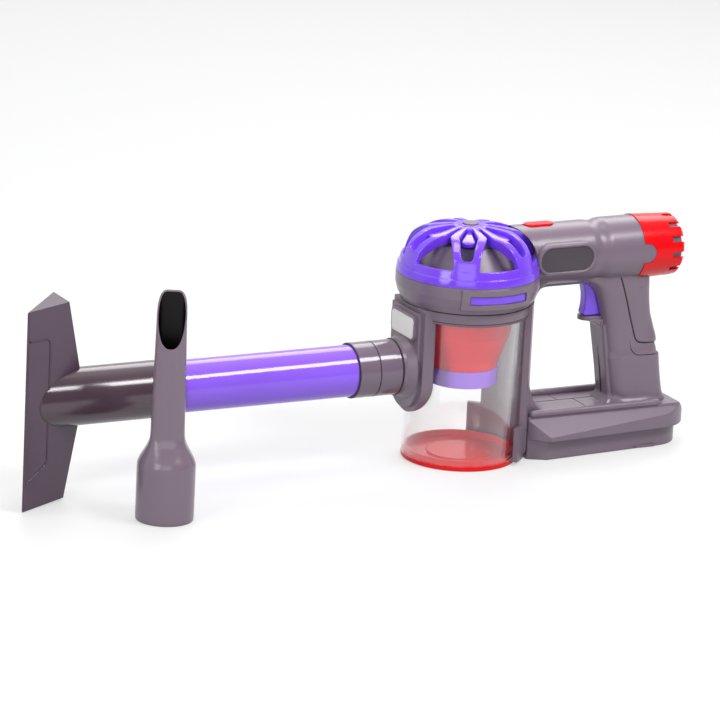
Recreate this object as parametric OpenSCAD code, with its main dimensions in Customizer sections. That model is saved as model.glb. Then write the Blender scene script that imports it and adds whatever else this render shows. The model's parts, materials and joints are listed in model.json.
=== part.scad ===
// Toy cordless vacuum cleaner with wand, floor head and crevice tool.
// Lengths are in millimetres and angles in degrees.
// X runs back from the bin axis, Y to the far side, Z up from the floor.

/* [Fits] */
// gap between two fixed pieces that seat on each other
seat = 0.05; // [0.02:0.01:0.2]
// gap around a piece that moves
run_gap = 0.3; // [0.2:0.05:0.6]
// gap all round between a pin or shaft and its hole
pin_gap = 0.05; // [0.02:0.01:0.1]
// overrun of a cut past the face that it opens
over = 1; // [0.5:0.1:2]

/* [Bin] */
// outside radius of the clear bin at its top
bin_top_r = 41.5; // [36:0.1:48]
// outside radius of the clear bin at its mouth
bin_mouth_r = 39.5; // [34:0.1:41]
// wall of the clear bin
bin_wall = 1.8; // [1:0.1:3]
// height of the clear bin
bin_h = 109; // [95:0.5:125]
// radius of the air hole in the front of the bin
bin_inlet_r = 14; // [10:0.1:15.5]
// thickness of the bin door
door_t = 2.6; // [2:0.1:4]
// height of the ring on the door that plugs the bin
door_plug_h = 4; // [2:0.1:8]
// wall of the ring on the door
door_plug_wall = 1.6; // [1:0.1:3]
// height of the raised disc in the middle of the door
door_boss_h = 1.2; // [0.5:0.1:2]
// width of the lug that carries the door on its hinge pin
door_lug_w = 18; // [10:0.5:24]
// radius of the door's hinge knuckle
door_knuckle_r = 3.6; // [2.8:0.1:4]
// distance of the door's hinge pin behind the bin's mouth
door_pin_back = 6.5; // [5:0.1:9]
// radius of the door's hinge pin
door_pin_r = 1.5; // [1:0.1:2]
// length of hinge pin held at each side of the lug
door_pin_hold = 6; // [3:0.5:9]

/* [Cyclone] */
// outside radius of the red cone where it leaves the head
cone_top_r = 35; // [28:0.1:36]
// outside radius of the red cone at its foot
cone_foot_r = 22; // [18:0.1:25]
// height of the red cone below the bin's top
cone_h = 46.5; // [35:0.5:60]
// height of the flange of the red cone
cone_flange_h = 2; // [1.5:0.1:4]
// reach of the cone's flange past the cone
cone_flange_w = 3; // [1:0.1:3.5]
// wall of the red cone
cone_wall = 1.6; // [1:0.1:3]
// radius of the purple ring under the cone
ring_r = 24; // [20:0.1:26]
// height of the purple ring under the cone
ring_h = 11.5; // [8:0.1:16]
// width of the inner shelf of the purple ring
ring_shelf_w = 2.4; // [1.5:0.1:4]
// height of the inner shelf of the purple ring
ring_shelf_h = 1.6; // [1:0.1:3]
// thickness of the filter screen
screen_t = 1.2; // [0.8:0.1:2]
// radius of each hole in the filter screen
screen_hole_r = 1.5; // [1:0.1:1.7]
// distance between the rings of holes in the filter screen
screen_pitch = 5.2; // [4.6:0.1:6]

/* [Head] */
// largest radius of the head band
head_r = 49.2; // [46:0.1:54]
// height of the head band, collar included
head_h = 28; // [24:0.5:36]
// radius of the collar round the bin
collar_r = 43.8; // [43:0.1:45]
// height of the collar round the bin
collar_h = 9; // [6:0.1:12]
// step from the collar out to the head band
collar_step = 1; // [0.4:0.1:2]
// height over which the head band swells to its largest radius
band_swell_h = 11; // [8:0.1:14]
// wall of the grey housing
wall = 2.2; // [1.6:0.1:3]
// inner radius of the ledge that the cone hangs from
ledge_r = 27; // [20:0.1:29]
// thickness of the ledge that the cone hangs from
ledge_t = 2; // [1.5:0.1:3]
// length of the raised panel round each catch
panel_w = 53; // [48:0.5:56]
// height of the raised panel round each catch
panel_h = 14; // [11:0.1:15]
// how far the raised panel stands out of the band
panel_out = 0.9; // [0.4:0.1:1.4]
// offset of the catch panels forward of the bin axis
panel_fwd = 0; // [-3:0.1:3]
// offset of the catches forward of the bin axis
catch_fwd = 0; // [-3:0.1:3]
// length of the catch
catch_w = 42; // [30:0.5:44]
// height of the catch
catch_h = 5.2; // [3:0.1:6]
// travel of the catch
catch_travel = 2; // [1:0.1:3]
// thickness of the flange that keeps each catch in
catch_flange_t = 1.6; // [1:0.1:2.5]
// width of the flange that keeps each catch in
catch_flange_w = 1.5; // [1:0.1:2.5]

/* [Crown] */
// height of the crown above the head band
crown_h = 33; // [28:0.5:38]
// thickness of the crown's skin
crown_t = 3; // [2:0.1:4]
// number of petals
petals = 6; // [5:1:8]
// half width of a petal at its root in the ring
petal_root_w = 8.2; // [6:0.1:10]
// half width of a petal at its knee
petal_knee_w = 12.3; // [10:0.1:13]
// distance of a petal's knee from the axis
petal_knee_r = 27; // [24:0.1:32]
// depth of a petal's sides
petal_d = 7; // [4:0.1:8]
// how far a petal stands out from the ring
petal_out = 1; // [0.5:0.1:1.5]
// height of the ring under the petals' feet
petal_foot_h = 5.2; // [3:0.1:7]
// half width of a petal's slot at its outer end
slot_root_w = 4.3; // [3:0.1:5]
// half width of a petal's slot at the knee
slot_knee_w = 6.2; // [4:0.1:7]
// half width of the tongue in each slot
tongue_w = 4.2; // [3:0.1:5]
// how far the tongue lies below the crown's skin
tongue_drop = 2.2; // [1:0.1:3]
// radius of the crown's hub
hub_r = 10.5; // [9:0.1:13]
// radius of the grey boss in the hub
hub_boss_r = 5.2; // [4:0.1:7]
// height of the grey boss above the hub
hub_boss_out = 1; // [0.5:0.1:2]
// radius of the cowl under the crown at its foot
cowl_foot_r = 36; // [32:0.1:40]
// radius of the cowl under the crown at its shoulder
cowl_top_r = 24; // [20:0.1:28]
// height of the cowl's shoulder above the head band
cowl_h = 21; // [16:0.1:24]
// radius of the stepped cap on the cowl
cowl_cap_r = 18; // [15:0.1:19.5]
// gap between the top of the cowl and the crown's tongues
cowl_gap = 0.5; // [0.3:0.1:2]
// width of each step of the cowl's cap
cowl_step_w = 2; // [1:0.1:3]
// thickness of the cowl's skin
cowl_t = 1.8; // [1.2:0.1:2.5]

/* [Barrel] */
// height of the barrel's axis above the head band's top
barrel_rise = 7.7; // [6:0.1:10]
// radius of the barrel
barrel_r = 21.4; // [20:0.1:24]
// radius of the drum behind the barrel
drum_r = 22.2; // [21:0.1:26]
// distance of the barrel's end behind the bin axis
barrel_x1 = 92; // [84:0.5:98]
// width of the neck between the barrel and the drum
neck_w = 5; // [3:0.1:8]
// depth of the neck between the barrel and the drum
neck_d = 1.2; // [0.4:0.1:1.2]
// length of the drum
drum_w = 29; // [24:0.5:36]
// length of the tongues that key the rear cap to the drum
key_l = 9; // [6:0.1:11]
// half height of the tongues that key the rear cap to the drum
key_h = 7; // [5:0.1:9]
// half width of the keel under the barrel
keel_w = 5; // [4:0.1:15]
// depth of the keel below the barrel
keel_drop = 1; // [0.5:0.1:3]
// length of the badge frame
badge_l = 44; // [36:0.5:46]
// height of the badge frame
badge_h = 21.4; // [18:0.1:27]
// distance of the badge frame's middle behind the bin axis
badge_x = 65.5; // [62:0.5:70]
// height of the badge frame's middle above the barrel's axis
badge_up = 1.2; // [0:0.1:3]
// how far the badge frame stands out of the barrel
badge_out = 1.4; // [0.8:0.1:2.5]
// width of the badge frame round its plate
badge_rim = 4; // [3:0.1:6]
// thickness of the badge plates
badge_t = 1.6; // [1:0.1:2.5]
// depth of the badge plates below the face of their frames
badge_sink = 0.5; // [0.2:0.1:1]
// length of the red button
button_l = 22; // [16:0.5:24]
// width of the red button
button_w = 10; // [7:0.1:12]
// distance of the red button's middle behind the bin axis
button_x = 52; // [51:0.5:58]
// height of the red button above the barrel
button_out = 1.4; // [1.2:0.1:3]
// travel of the red button
button_travel = 1.2; // [0.8:0.1:1.2]
// width of the flange that keeps the red button in
button_flange_w = 1.5; // [1:0.1:2.5]
// thickness of the flange that keeps the red button in
button_flange_t = 1.4; // [1:0.1:2]
// radius of the spring under the red button
spring_r = 3; // [2:0.1:4]
// wall of the springs
spring_wall = 0.8; // [0.5:0.1:1]
// height of the spring under the red button
button_spring_h = 6; // [4:0.1:8]
// thickness of the bridge that carries the button's spring
bridge_t = 2; // [1.5:0.1:3]

/* [Rear cap] */
// radius of the red rear cap
cap_r = 22.8; // [22.4:0.1:26]
// radius of the red rear cap at its end
cap_end_r = 21.4; // [20.5:0.1:24]
// length of the red rear cap
cap_l = 32.5; // [24:0.5:36]
// wall of the red rear cap
cap_wall = 2; // [1.5:0.1:3]
// number of slots in the rear cap
cap_slots = 12; // [8:1:16]
// width of each slot in the rear cap
cap_slot_w = 4; // [2:0.1:5]
// length of each slot in the rear cap
cap_slot_l = 10; // [6:0.1:13]
// chamfer of the rear cap's end
cap_chamfer = 2; // [1:0.1:3]
// thickness of the exhaust core's end wall
core_t = 2.4; // [1.6:0.1:4]
// how far the exhaust core stops short of the cap's end
core_back = 2; // [1:0.1:4]
// radius of each exhaust hole
core_hole_r = 2.2; // [1:0.1:2.6]
// distance of the exhaust holes from the axis
core_hole_at = 11.5; // [9:0.1:14]

/* [Motor] */
// radius of the motor
motor_r = 12; // [10:0.1:14]
// length of the motor
motor_l = 25; // [18:0.5:27]
// distance of the motor's front behind the bin axis
motor_x = 86; // [84:0.5:92]
// thickness of the motor mount
mount_t = 3; // [2:0.1:4]
// length of the sleeve of the motor mount
mount_sleeve = 12; // [8:0.1:16]
// wall of the sleeve of the motor mount
mount_wall = 2; // [1.5:0.1:3]
// radius of the fan shaft
shaft_r = 1; // [0.8:0.05:1.5]
// depth of the fan shaft in the motor
shaft_in = 14; // [8:0.1:16]
// radius of the fan
fan_r = 15.5; // [12:0.1:16]
// thickness of the fan's disc
fan_disc_t = 1.4; // [1:0.1:2]
// length of the fan's blades along the shaft
fan_blade_l = 7; // [5:0.1:9]
// thickness of each fan blade
fan_blade_t = 1.2; // [0.8:0.1:2]
// number of fan blades
fan_blades = 8; // [5:1:10]
// radius of the fan's hub
fan_hub_r = 4; // [3:0.1:5]
// gap between the fan and the motor mount
fan_gap = 1.5; // [1:0.1:3]

/* [Inlet] */
// height of the wand's axis above the floor
wand_z = 67.8; // [62:0.1:74]
// radius of the inlet plate
plate_r = 23; // [21:0.1:26]
// distance of the inlet plate's face in front of the bin
plate_fwd = 4.6; // [3.6:0.1:6]
// height of the wand's axis above the middle of the inlet plate's round end
plate_drop = 9.2; // [4:0.1:12]
// depth of the inlet plate
plate_d = 12; // [10:0.1:16]
// chamfer round the face of the inlet plate
plate_chamfer = 3; // [1:0.1:3.5]
// radius of the inlet ring
inlet_r = 19.4; // [18.6:0.1:22]
// length of the inlet ring in front of the plate
inlet_l = 9; // [6:0.1:12]
// width of the flare at the foot of the inlet ring
inlet_flare = 3.4; // [1:0.1:3.5]
// height of the flare at the foot of the inlet ring
inlet_flare_l = 6; // [2:0.1:8]
// width of the label pad
label_w = 35; // [28:0.5:38]
// height of the label pad
label_h = 18.5; // [14:0.5:24]
// height of the label pad's middle above the floor
label_z = 97.5; // [95:0.5:102]
// how far the label pad stands out of the inlet plate
label_out = 1.8; // [1.4:0.1:4]
// rim of the label pad round its plate
label_rim = 2; // [1:0.1:3]
// radius of the corners of the label's pad
label_corner_r = 5; // [3.5:0.1:7]
// thickness of the label plate
label_t = 1.2; // [0.8:0.1:2]

/* [Spine and base] */
// outside radius of the spine behind the bin
spine_r = 46.4; // [45:0.1:50]
// half angle of the spine
spine_angle = 42; // [30:1:50]
// half angle of the cradle at the foot of the spine
cradle_angle = 55; // [52:1:66]
// height of the cradle above the floor
cradle_h = 26; // [20:0.5:34]
// outside radius of the cradle
cradle_r = 45; // [44:0.1:46]
// radius of the fillet from the spine to the deck
fillet_r = 14; // [8:0.5:18]
// reach of the spine's foot along the deck
deck_fillet_w = 10; // [6:0.5:14]
// height of the spine's foot above the deck
deck_fillet_h = 25; // [14:0.5:30]
// height of the deck above the floor
deck_z = 30; // [26:0.5:36]
// half width of the deck
deck_w = 24; // [20:0.5:26]
// half width of the skirt at its front
skirt_front_w = 35.5; // [32:0.5:38]
// half width of the skirt at its back
skirt_back_w = 29; // [28:0.5:30]
// height of the skirt's lower edge above the floor
skirt_z = 14; // [12:0.5:18]
// height of the skirt's edge
skirt_edge = 3; // [2:0.1:5]
// height of the deck above the top of the skirt's slope
skirt_top_drop = 2; // [1:0.1:4]
// distance of the skirt's front corners behind the bin axis
skirt_x0 = 53; // [50:0.5:58]
// distance of the base's rear end behind the bin axis
base_x1 = 172; // [164:0.5:182]
// inset of the foot inside the skirt
foot_inset = 5; // [3:0.1:6]
// height of the rails along the deck
rail_h = 2; // [1:0.1:3]
// width of the rails along the deck
rail_w = 3; // [2:0.1:4]
// distance of the rails' rear ends behind the bin axis
rail_x1 = 146; // [140:0.5:156]

/* [Handle] */
// lean of the handle
handle_lean = 10; // [6:0.5:14]
// depth of the handle from front to back
handle_d = 38.5; // [34:0.5:42]
// width of the handle
handle_w = 28; // [24:0.5:32]
// radius of the handle's edges
handle_edge = 9; // [6:0.1:11]
// distance of the handle's foot behind the bin axis
handle_x = 133.7; // [128:0.5:138]
// wall of the handle
handle_wall = 2.6; // [2:0.1:3.5]
// half width of the rib on the front of the handle
rib_w = 8; // [4:0.1:9]
// how far the rib stands out of the front of the handle
rib_out = 2; // [1:0.1:3]
// height of the thicker foot of the handle above the deck
sleeve_h = 35; // [30:0.5:38]
// how far the thicker foot of the handle stands out
sleeve_out = 0.8; // [0.4:0.1:1.5]
// height of the grip panel's lower end above the deck
grip_z = 42; // [40:0.5:48]
// height of the grip panel along the handle
grip_h = 40; // [34:0.5:41]
// depth of the grip panel from the back of the handle
grip_d = 20; // [14:0.5:22]
// thickness of the grip panel
grip_t = 1.8; // [1.2:0.1:2.2]
// half width of the trigger
trigger_w = 6.2; // [5:0.1:7]
// height of the trigger
trigger_h = 23.5; // [20:0.1:26]
// reach of the trigger in front of the handle
trigger_out = 14.5; // [12:0.1:18]
// length of the trigger's stem in the handle
trigger_in = 9; // [8:0.1:12]
// hollow of the trigger's front for the finger
trigger_hollow = 3; // [1:0.1:4]
// travel of the trigger
trigger_travel = 4; // [2:0.1:5]
// thickness of the flange that keeps the trigger in
trigger_flange_t = 1.6; // [1:0.1:2]
// width of the flange that keeps the trigger in
trigger_flange_w = 1.5; // [1:0.1:2.5]
// thickness of the ledge under the trigger
guard_t = 2.6; // [2:0.1:6]
// how far the trigger's spring reaches back
trigger_spring_l = 9; // [7:0.1:10]
// length of the trigger switch
switch_l = 6; // [4:0.1:8]
// width of the trigger switch
switch_w = 6; // [4:0.1:8]
// height of the trigger switch
switch_h = 12; // [8:0.1:16]
// thickness of the shelf that carries the trigger switch
shelf_t = 2; // [1.5:0.1:3]

/* [Batteries] */
// radius of a battery cell
cell_r = 7.25; // [7:0.05:7.3]
// length of a battery cell
cell_l = 49.5; // [48:0.1:50]
// length of the pip on a battery cell
cell_pip_l = 1; // [0.8:0.1:1.5]
// radius of the pip on a battery cell
cell_pip_r = 2.75; // [2:0.05:3]
// number of battery cells
cells = 3; // [2:1:3]
// distance of the battery box's front behind the bin axis
cells_x = 76; // [70:0.5:84]
// thickness of the battery contacts
contact_t = 0.8; // [0.5:0.1:1.2]
// gap between neighbouring cells
cell_gap = 0.6; // [0.3:0.1:1]
// thickness of the battery cover
cover_t = 2; // [1.6:0.1:3]
// rim of the battery cover past the battery box
cover_rim = 2.5; // [2:0.1:4]
// radius of a screw's head
screw_head_r = 2.6; // [2:0.1:3]
// radius of a screw's thread
screw_r = 1.3; // [1:0.05:1.5]
// thickness of a screw's head
screw_head_t = 1.6; // [1:0.1:2]
// length of the cover screw
cover_screw_l = 10; // [6:0.5:12]
// thread of a housing screw past the seam
screw_bite = 6; // [4:0.5:8]
// radius of the posts for the housing screws
post_r = 4; // [3.6:0.1:5]

/* [Wand] */
// radius of the wand tube
tube_r = 17.7; // [16:0.05:18]
// wall of the wand tube
tube_wall = 1.6; // [1.2:0.1:2.5]
// length of the wand tube that shows
tube_l = 130; // [100:0.5:160]
// radius of the wand's grey socket and collar
cuff_r = 19; // [18.5:0.1:20]
// length of the grey socket round the tube
socket_l = 15; // [14:0.1:24]
// length of the grey collar against the inlet
collar_l = 17; // [10:0.1:20]
// depth of the tube in the socket
tube_in = 14; // [10:0.1:14]
// depth of the collar's spigot in the inlet
spigot_l = 12; // [9:0.1:13]
// wall of the spigot
spigot_wall = 1.8; // [1.2:0.1:2.5]
// width of the groove between socket and collar
cuff_groove = 0.6; // [0.3:0.1:1]
// length by which the wand pulls out of the inlet
wand_travel = 25; // [15:0.5:40]
// radius of the floor head's pipe
pipe_r = 19.3; // [19:0.1:21]
// depth of the tube in the floor head's pipe
pipe_in = 25; // [18:0.5:32]
// inside radius of the floor head's pipe beyond the tube
pipe_bore_r = 16; // [14:0.1:16.1]
// length of the floor head's pipe that shows ahead of the head's ridge
pipe_l = 69.4; // [60:0.5:90]

/* [Floor head] */
// half length of the floor head
head_half = 67.8; // [55:0.1:67.8]
// half length of the floor head at its ridge
ridge_half = 67; // [50:0.1:67.5]
// distance of the ridge's ends in front of its middle along the wand
ridge_end_fwd = 11.5; // [6:0.1:16]
// distance of the lip in front of the ridge along the wand
lip_fwd = 49; // [40:0.5:56]
// distance of the lip to the near side of the wand's axis
lip_side = 26; // [22:0.1:30]
// distance of the ridge to the near side of the wand's axis
ridge_side = 1; // [0:0.1:4]
// distance of the heel in front of the ridge along the wand
heel_fwd = 10; // [4:0.1:16]
// distance of the heel to the far side of the wand's axis
heel_side = 21; // [16:0.1:26]
// wall of the floor head
shoe_wall = 2; // [1.5:0.1:3]
// thickness of the lip's edge strip
lip_t = 2.4; // [1.5:0.1:3.5]

/* [Crevice tool] */
// distance of the crevice tool in front of the bin axis
crevice_x = 251.5; // [200:0.5:266]
// distance of the crevice tool to the near side of the wand's axis
crevice_y = 65.5; // [60:0.5:90]
// turn of the crevice tool's mouth
crevice_turn = 27; // [0:1:60]
// outside radius of the crevice tool's socket
crevice_r = 19.3; // [19:0.1:21]
// height of the crevice tool's socket
crevice_socket_h = 37; // [32:0.5:50]
// depth of the bore for the tube in the crevice tool
crevice_bore_h = 30; // [24:0.5:31]
// height of the crevice tool's shoulder
crevice_shoulder_h = 18; // [14:0.5:28]
// height of the crevice tool
crevice_h = 153; // [120:0.5:180]
// width of the blade above the shoulder
blade_foot_w = 22.5; // [19:0.1:28]
// depth of the blade above the shoulder
blade_foot_d = 18; // [14:0.1:22]
// width of the blade at its tip
blade_tip_w = 19; // [14:0.1:24]
// depth of the blade at its tip
blade_tip_d = 14; // [10:0.1:16]
// wall of the crevice tool
crevice_wall = 1.8; // [1.2:0.1:2.5]
// height of the slanted mouth
mouth_h = 38; // [30:0.5:60]

/* [Hidden] */
$fn = 72;

bin_z0 = door_t + run_gap;
bin_z1 = bin_z0 + bin_h;
head_z0 = bin_z1 - collar_h;
head_z1 = head_z0 + head_h;
crown_z1 = head_z1 + crown_h;
barrel_z = head_z1 + barrel_rise;
bore_r = barrel_r - neck_d - wall;
drum_x0 = barrel_x1 + neck_w;
drum_x1 = drum_x0 + drum_w;
bin_hole_r = bin_top_r + seat;
plate_x = -bin_hole_r - plate_fwd;
inlet_x = plate_x - inlet_l;
inlet_bore_r = cuff_r - spigot_wall;
ledge_z = bin_z1 + seat;
band_z = head_z0 + collar_h + band_swell_h;
reach = base_x1 + crown_z1 + head_r;

body_grey = [0.47, 0.42, 0.46];
dark_grey = [0.33, 0.28, 0.32];
purple = [0.49, 0.27, 0.93];
red = [0.88, 0.10, 0.12];
metal = [0.75, 0.75, 0.76];
pale = [0.85, 0.85, 0.83];

// a tube standing on z0
module ring(r, r_in, z0, z1) {
    translate([0, 0, z0])
        difference() {
            cylinder(h = z1 - z0, r = r);
            translate([0, 0, -over])
                cylinder(h = z1 - z0 + 2 * over, r = r_in);
        }
}

// a cylinder along X from x0 to x1
module rod_x(r, x0, x1, z, y = 0) {
    translate([x0, y, z])
        rotate([0, 90, 0])
            cylinder(h = x1 - x0, r = r);
}

// a cone along X from x0 to x1
module cone_x(r0, r1, x0, x1, z) {
    translate([x0, 0, z])
        rotate([0, 90, 0])
            cylinder(h = x1 - x0, r1 = r0, r2 = r1);
}

// a cylinder along Y from y0 to y1
module rod_y(r, y0, y1, x, z) {
    translate([x, y0, z])
        rotate([-90, 0, 0])
            cylinder(h = y1 - y0, r = r);
}

// a box between two corners
module box(a, b) {
    translate(a)
        cube(b - a);
}

// a flat shape in X and Z, drawn out along Y from y0 to y1
module plate_y(y0, y1) {
    translate([0, y1, 0])
        rotate([90, 0, 0])
            linear_extrude(y1 - y0)
                children();
}

// a flat shape in Y and Z, drawn out along X from x0 to x1
module plate_x_way(x0, x1) {
    translate([x0, 0, 0])
        rotate([90, 0, 90])
            linear_extrude(x1 - x0)
                children();
}

// a flat oblong with round ends
module stadium(l, h) {
    square([l - h, h], center = true);
    for (s = [-1, 1])
        translate([s * (l - h) / 2, 0])
            circle(r = h / 2);
}

// a flat oblong with round corners
module rounded(l, h, r) {
    square([l - 2 * r, h], center = true);
    square([l, h - 2 * r], center = true);
    for (s = [-1, 1], t = [-1, 1])
        translate([s * (l / 2 - r), t * (h / 2 - r)])
            circle(r = r);
}

// everything on one side of the seam
module half(side) {
    translate([-reach, side < 0 ? -reach : 0, -over])
        cube([2 * reach, reach, reach]);
}

// the crown's outline, as radius and height above the head band
crown_shares = [[1, 0], [0.985, 0.16], [0.955, 0.33], [0.9, 0.54], [0.82, 0.71],
    [0.69, 0.845], [0.54, 0.92], [0.33, 0.975], [0.17, 1]];
function crown_line(drop) = [for (p = crown_shares)
    [p[0] * (head_r - seat) - drop * (1 - p[1]), head_z1 + p[1] * (crown_h - drop)]];

module crown_solid(drop) {
    rotate_extrude()
        polygon(concat([[0, head_z1 - (drop > 0 ? over : 0)],
            [crown_line(drop)[0][0], head_z1 - (drop > 0 ? over : 0)]],
            crown_line(drop), [[0, crown_z1 - drop]]));
}

// the room that the housing leaves for the crown, grown by a gap
module crown_room(gap) {
    rotate_extrude()
        polygon(concat([[0, head_z1 - gap + run_gap]],
            [[crown_line(-gap)[0][0], head_z1 - gap + run_gap]],
            crown_line(-gap), [[0, crown_z1 + gap]]));
}

window_r = crown_line(0)[2][0];
slot_r = crown_line(0)[3][0];

module petal_flat() {
    polygon([[hub_r / 2, -hub_r / 2], [petal_knee_r, -petal_knee_w], [window_r + over, -petal_root_w],
        [window_r + over, petal_root_w], [petal_knee_r, petal_knee_w], [hub_r / 2, hub_r / 2]]);
}

module slot_flat() {
    polygon([[hub_r + crown_t, -slot_root_w / 2], [petal_knee_r, -slot_knee_w],
        [slot_r - slot_root_w, -slot_root_w], [slot_r - slot_root_w, slot_root_w],
        [petal_knee_r, slot_knee_w], [hub_r + crown_t, slot_root_w / 2]]);
    translate([slot_r - slot_root_w, 0])
        circle(r = slot_root_w);
}

module tongue_flat() {
    polygon([[hub_r - over, -slot_root_w / 2], [petal_knee_r - tongue_w, -tongue_w],
        [petal_knee_r, -tongue_w], [petal_knee_r, tongue_w],
        [petal_knee_r - tongue_w, tongue_w], [hub_r - over, slot_root_w / 2]]);
    translate([petal_knee_r, 0])
        circle(r = tongue_w);
}

module petals_round() {
    for (i = [0 : petals - 1])
        rotate(i * 360 / petals)
            children();
}

module crown_cover() {
    color(purple)
        difference() {
            union() {
                // deep sides of the petals
                intersection() {
                    difference() {
                        crown_solid(0);
                        crown_solid(petal_d);
                    }
                    translate([0, 0, cowl_z + cowl_t + run_gap])
                        linear_extrude(crown_h)
                            difference() {
                                petals_round()
                                    petal_flat();
                                petals_round()
                                    slot_flat();
                                circle(r = cowl_top_r + over);
                            }
                }
                intersection() {
                    difference() {
                        crown_solid(0);
                        crown_solid(crown_t);
                    }
                    translate([0, 0, head_z1 - over])
                        linear_extrude(crown_h + 2 * over)
                            difference() {
                                union() {
                                    difference() {
                                        circle(r = head_r + over);
                                        circle(r = window_r);
                                    }
                                    petals_round()
                                        petal_flat();
                                    circle(r = hub_r);
                                }
                                petals_round()
                                    slot_flat();
                            }
                }
                intersection() {
                    difference() {
                        crown_solid(tongue_drop);
                        crown_solid(tongue_drop + crown_t);
                    }
                    translate([0, 0, cowl_z])
                        linear_extrude(crown_h)
                            petals_round()
                                tongue_flat();
                }
            }
            translate([0, 0, head_z1])
                cylinder(h = crown_h + over, r = hub_boss_r + seat);
            // the ring lies back between the petals' feet
            difference() {
                translate([0, 0, head_z1 + petal_foot_h])
                    linear_extrude(crown_h)
                        difference() {
                            circle(r = head_r + over);
                            circle(r = window_r - over);
                            petals_round()
                                translate([0, -petal_root_w - petal_out])
                                    square([2 * head_r, 2 * (petal_root_w + petal_out)]);
                        }
                crown_solid(petal_out);
            }
        }
}

module crown_boss() {
    color(body_grey) {
        translate([0, 0, crown_z1 - crown_t])
            cylinder(h = crown_t + hub_boss_out, r = hub_boss_r);
        translate([0, 0, cowl_top_z + seat])
            cylinder(h = crown_z1 - crown_t - cowl_top_z - seat, r = hub_boss_r / 2);
    }
}

// the cowl closes the head under the crown
cowl_z = head_z1 + seat;
cowl_shoulder_z = cowl_z + cowl_h;
cowl_top_z = crown_line(tongue_drop + crown_t)[7][1] - cowl_gap;
cowl_step_h = (cowl_top_z - cowl_shoulder_z) / 2;
cowl_r = head_r - seat - crown_t - run_gap;

module cyclone_cowl() {
    color(body_grey)
        rotate_extrude()
            polygon([[cowl_r, cowl_z], [cowl_r, cowl_z + cowl_t], [cowl_foot_r, cowl_z + cowl_t],
                [cowl_top_r, cowl_shoulder_z], [cowl_cap_r, cowl_shoulder_z],
                [cowl_cap_r, cowl_shoulder_z + cowl_step_h],
                [cowl_cap_r - cowl_step_w, cowl_shoulder_z + cowl_step_h],
                [cowl_cap_r - cowl_step_w, cowl_top_z], [0, cowl_top_z], [0, cowl_top_z - cowl_t],
                [cowl_cap_r - cowl_step_w - cowl_t, cowl_top_z - cowl_t],
                [cowl_cap_r - cowl_step_w - cowl_t, cowl_shoulder_z - cowl_t],
                [cowl_top_r - cowl_t, cowl_shoulder_z - cowl_t], [cowl_foot_r - 2 * cowl_t, cowl_z]]);
}

// the cone hangs from the ledge in the head
cone_z1 = bin_z1;
cone_z0 = cone_z1 - cone_h;
cone_shares = [[1, 1], [0.8, 0.82], [0.76, 0.66], [0.71, 0.53], [0.4, 0.29], [0.2, 0.13], [0.1, 0]];
cone_line = [for (p = cone_shares)
    [cone_foot_r + p[0] * (cone_top_r - cone_foot_r), cone_z0 + p[1] * (cone_h - cone_flange_h)]];

module cyclone_cone() {
    color(red)
        rotate_extrude()
            polygon(concat(
                [[cone_top_r + cone_flange_w, cone_z1], [cone_top_r + cone_flange_w, cone_z1 - cone_flange_h]],
                cone_line,
                [for (i = [len(cone_line) - 1 : -1 : 0]) [cone_line[i][0] - cone_wall, cone_line[i][1]]],
                [[cone_line[0][0] - cone_wall, cone_z1]]));
}

ring_z1 = cone_z0 - seat;
ring_z0 = ring_z1 - ring_h;
ring_bore_r = cone_foot_r - cone_wall;

module cone_ring() {
    color(purple) {
        ring(ring_r, ring_bore_r, ring_z0, ring_z1);
        ring(ring_bore_r + over, ring_bore_r - ring_shelf_w, ring_z0, ring_z0 + ring_shelf_h);
    }
}

module filter_screen() {
    color(metal)
        translate([0, 0, ring_z0 + ring_shelf_h + seat])
            difference() {
                cylinder(h = screen_t, r = ring_bore_r - seat);
                for (k = [1 : floor((ring_bore_r - ring_shelf_w - screen_hole_r) / screen_pitch)],
                    i = [0 : 6 * k - 1])
                    rotate(i * 60 / k)
                        translate([k * screen_pitch, 0, -over])
                            cylinder(h = screen_t + 2 * over, r = screen_hole_r, $fn = 24);
            }
}

module clear_bin() {
    color([0.9, 0.92, 0.95, 0.35])
        difference() {
            translate([0, 0, bin_z0])
                cylinder(h = bin_h, r1 = bin_mouth_r, r2 = bin_top_r);
            translate([0, 0, bin_z0 - over])
                cylinder(h = bin_h + 2 * over, r1 = bin_mouth_r - bin_wall, r2 = bin_top_r - bin_wall);
            rod_x(bin_inlet_r, -bin_top_r - over, -cone_foot_r, wand_z);
        }
}

// the door's hinge, behind the bin's mouth
door_pin_x = bin_mouth_r + door_pin_back;
door_pin_z = door_knuckle_r;
door_plug_r = bin_mouth_r - bin_wall - run_gap;

module bin_door() {
    color(red)
        difference() {
            union() {
                cylinder(h = door_t, r = bin_mouth_r);
                ring(door_plug_r, door_plug_r - door_plug_wall, door_t - seat, bin_z0 + door_plug_h);
                translate([0, 0, door_t - seat])
                    cylinder(h = door_boss_h + seat, r = cone_foot_r);
                box([bin_mouth_r - door_t, -door_lug_w / 2, 0], [door_pin_x, door_lug_w / 2, door_t]);
                rod_y(door_knuckle_r, -door_lug_w / 2, door_lug_w / 2, door_pin_x, door_pin_z);
            }
            rod_y(door_pin_r + pin_gap, -door_lug_w, door_lug_w, door_pin_x, door_pin_z);
        }
}

module door_pin() {
    color(metal)
        rod_y(door_pin_r, -door_lug_w / 2 - door_pin_hold, door_lug_w / 2 + door_pin_hold,
            door_pin_x, door_pin_z);
}

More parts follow.
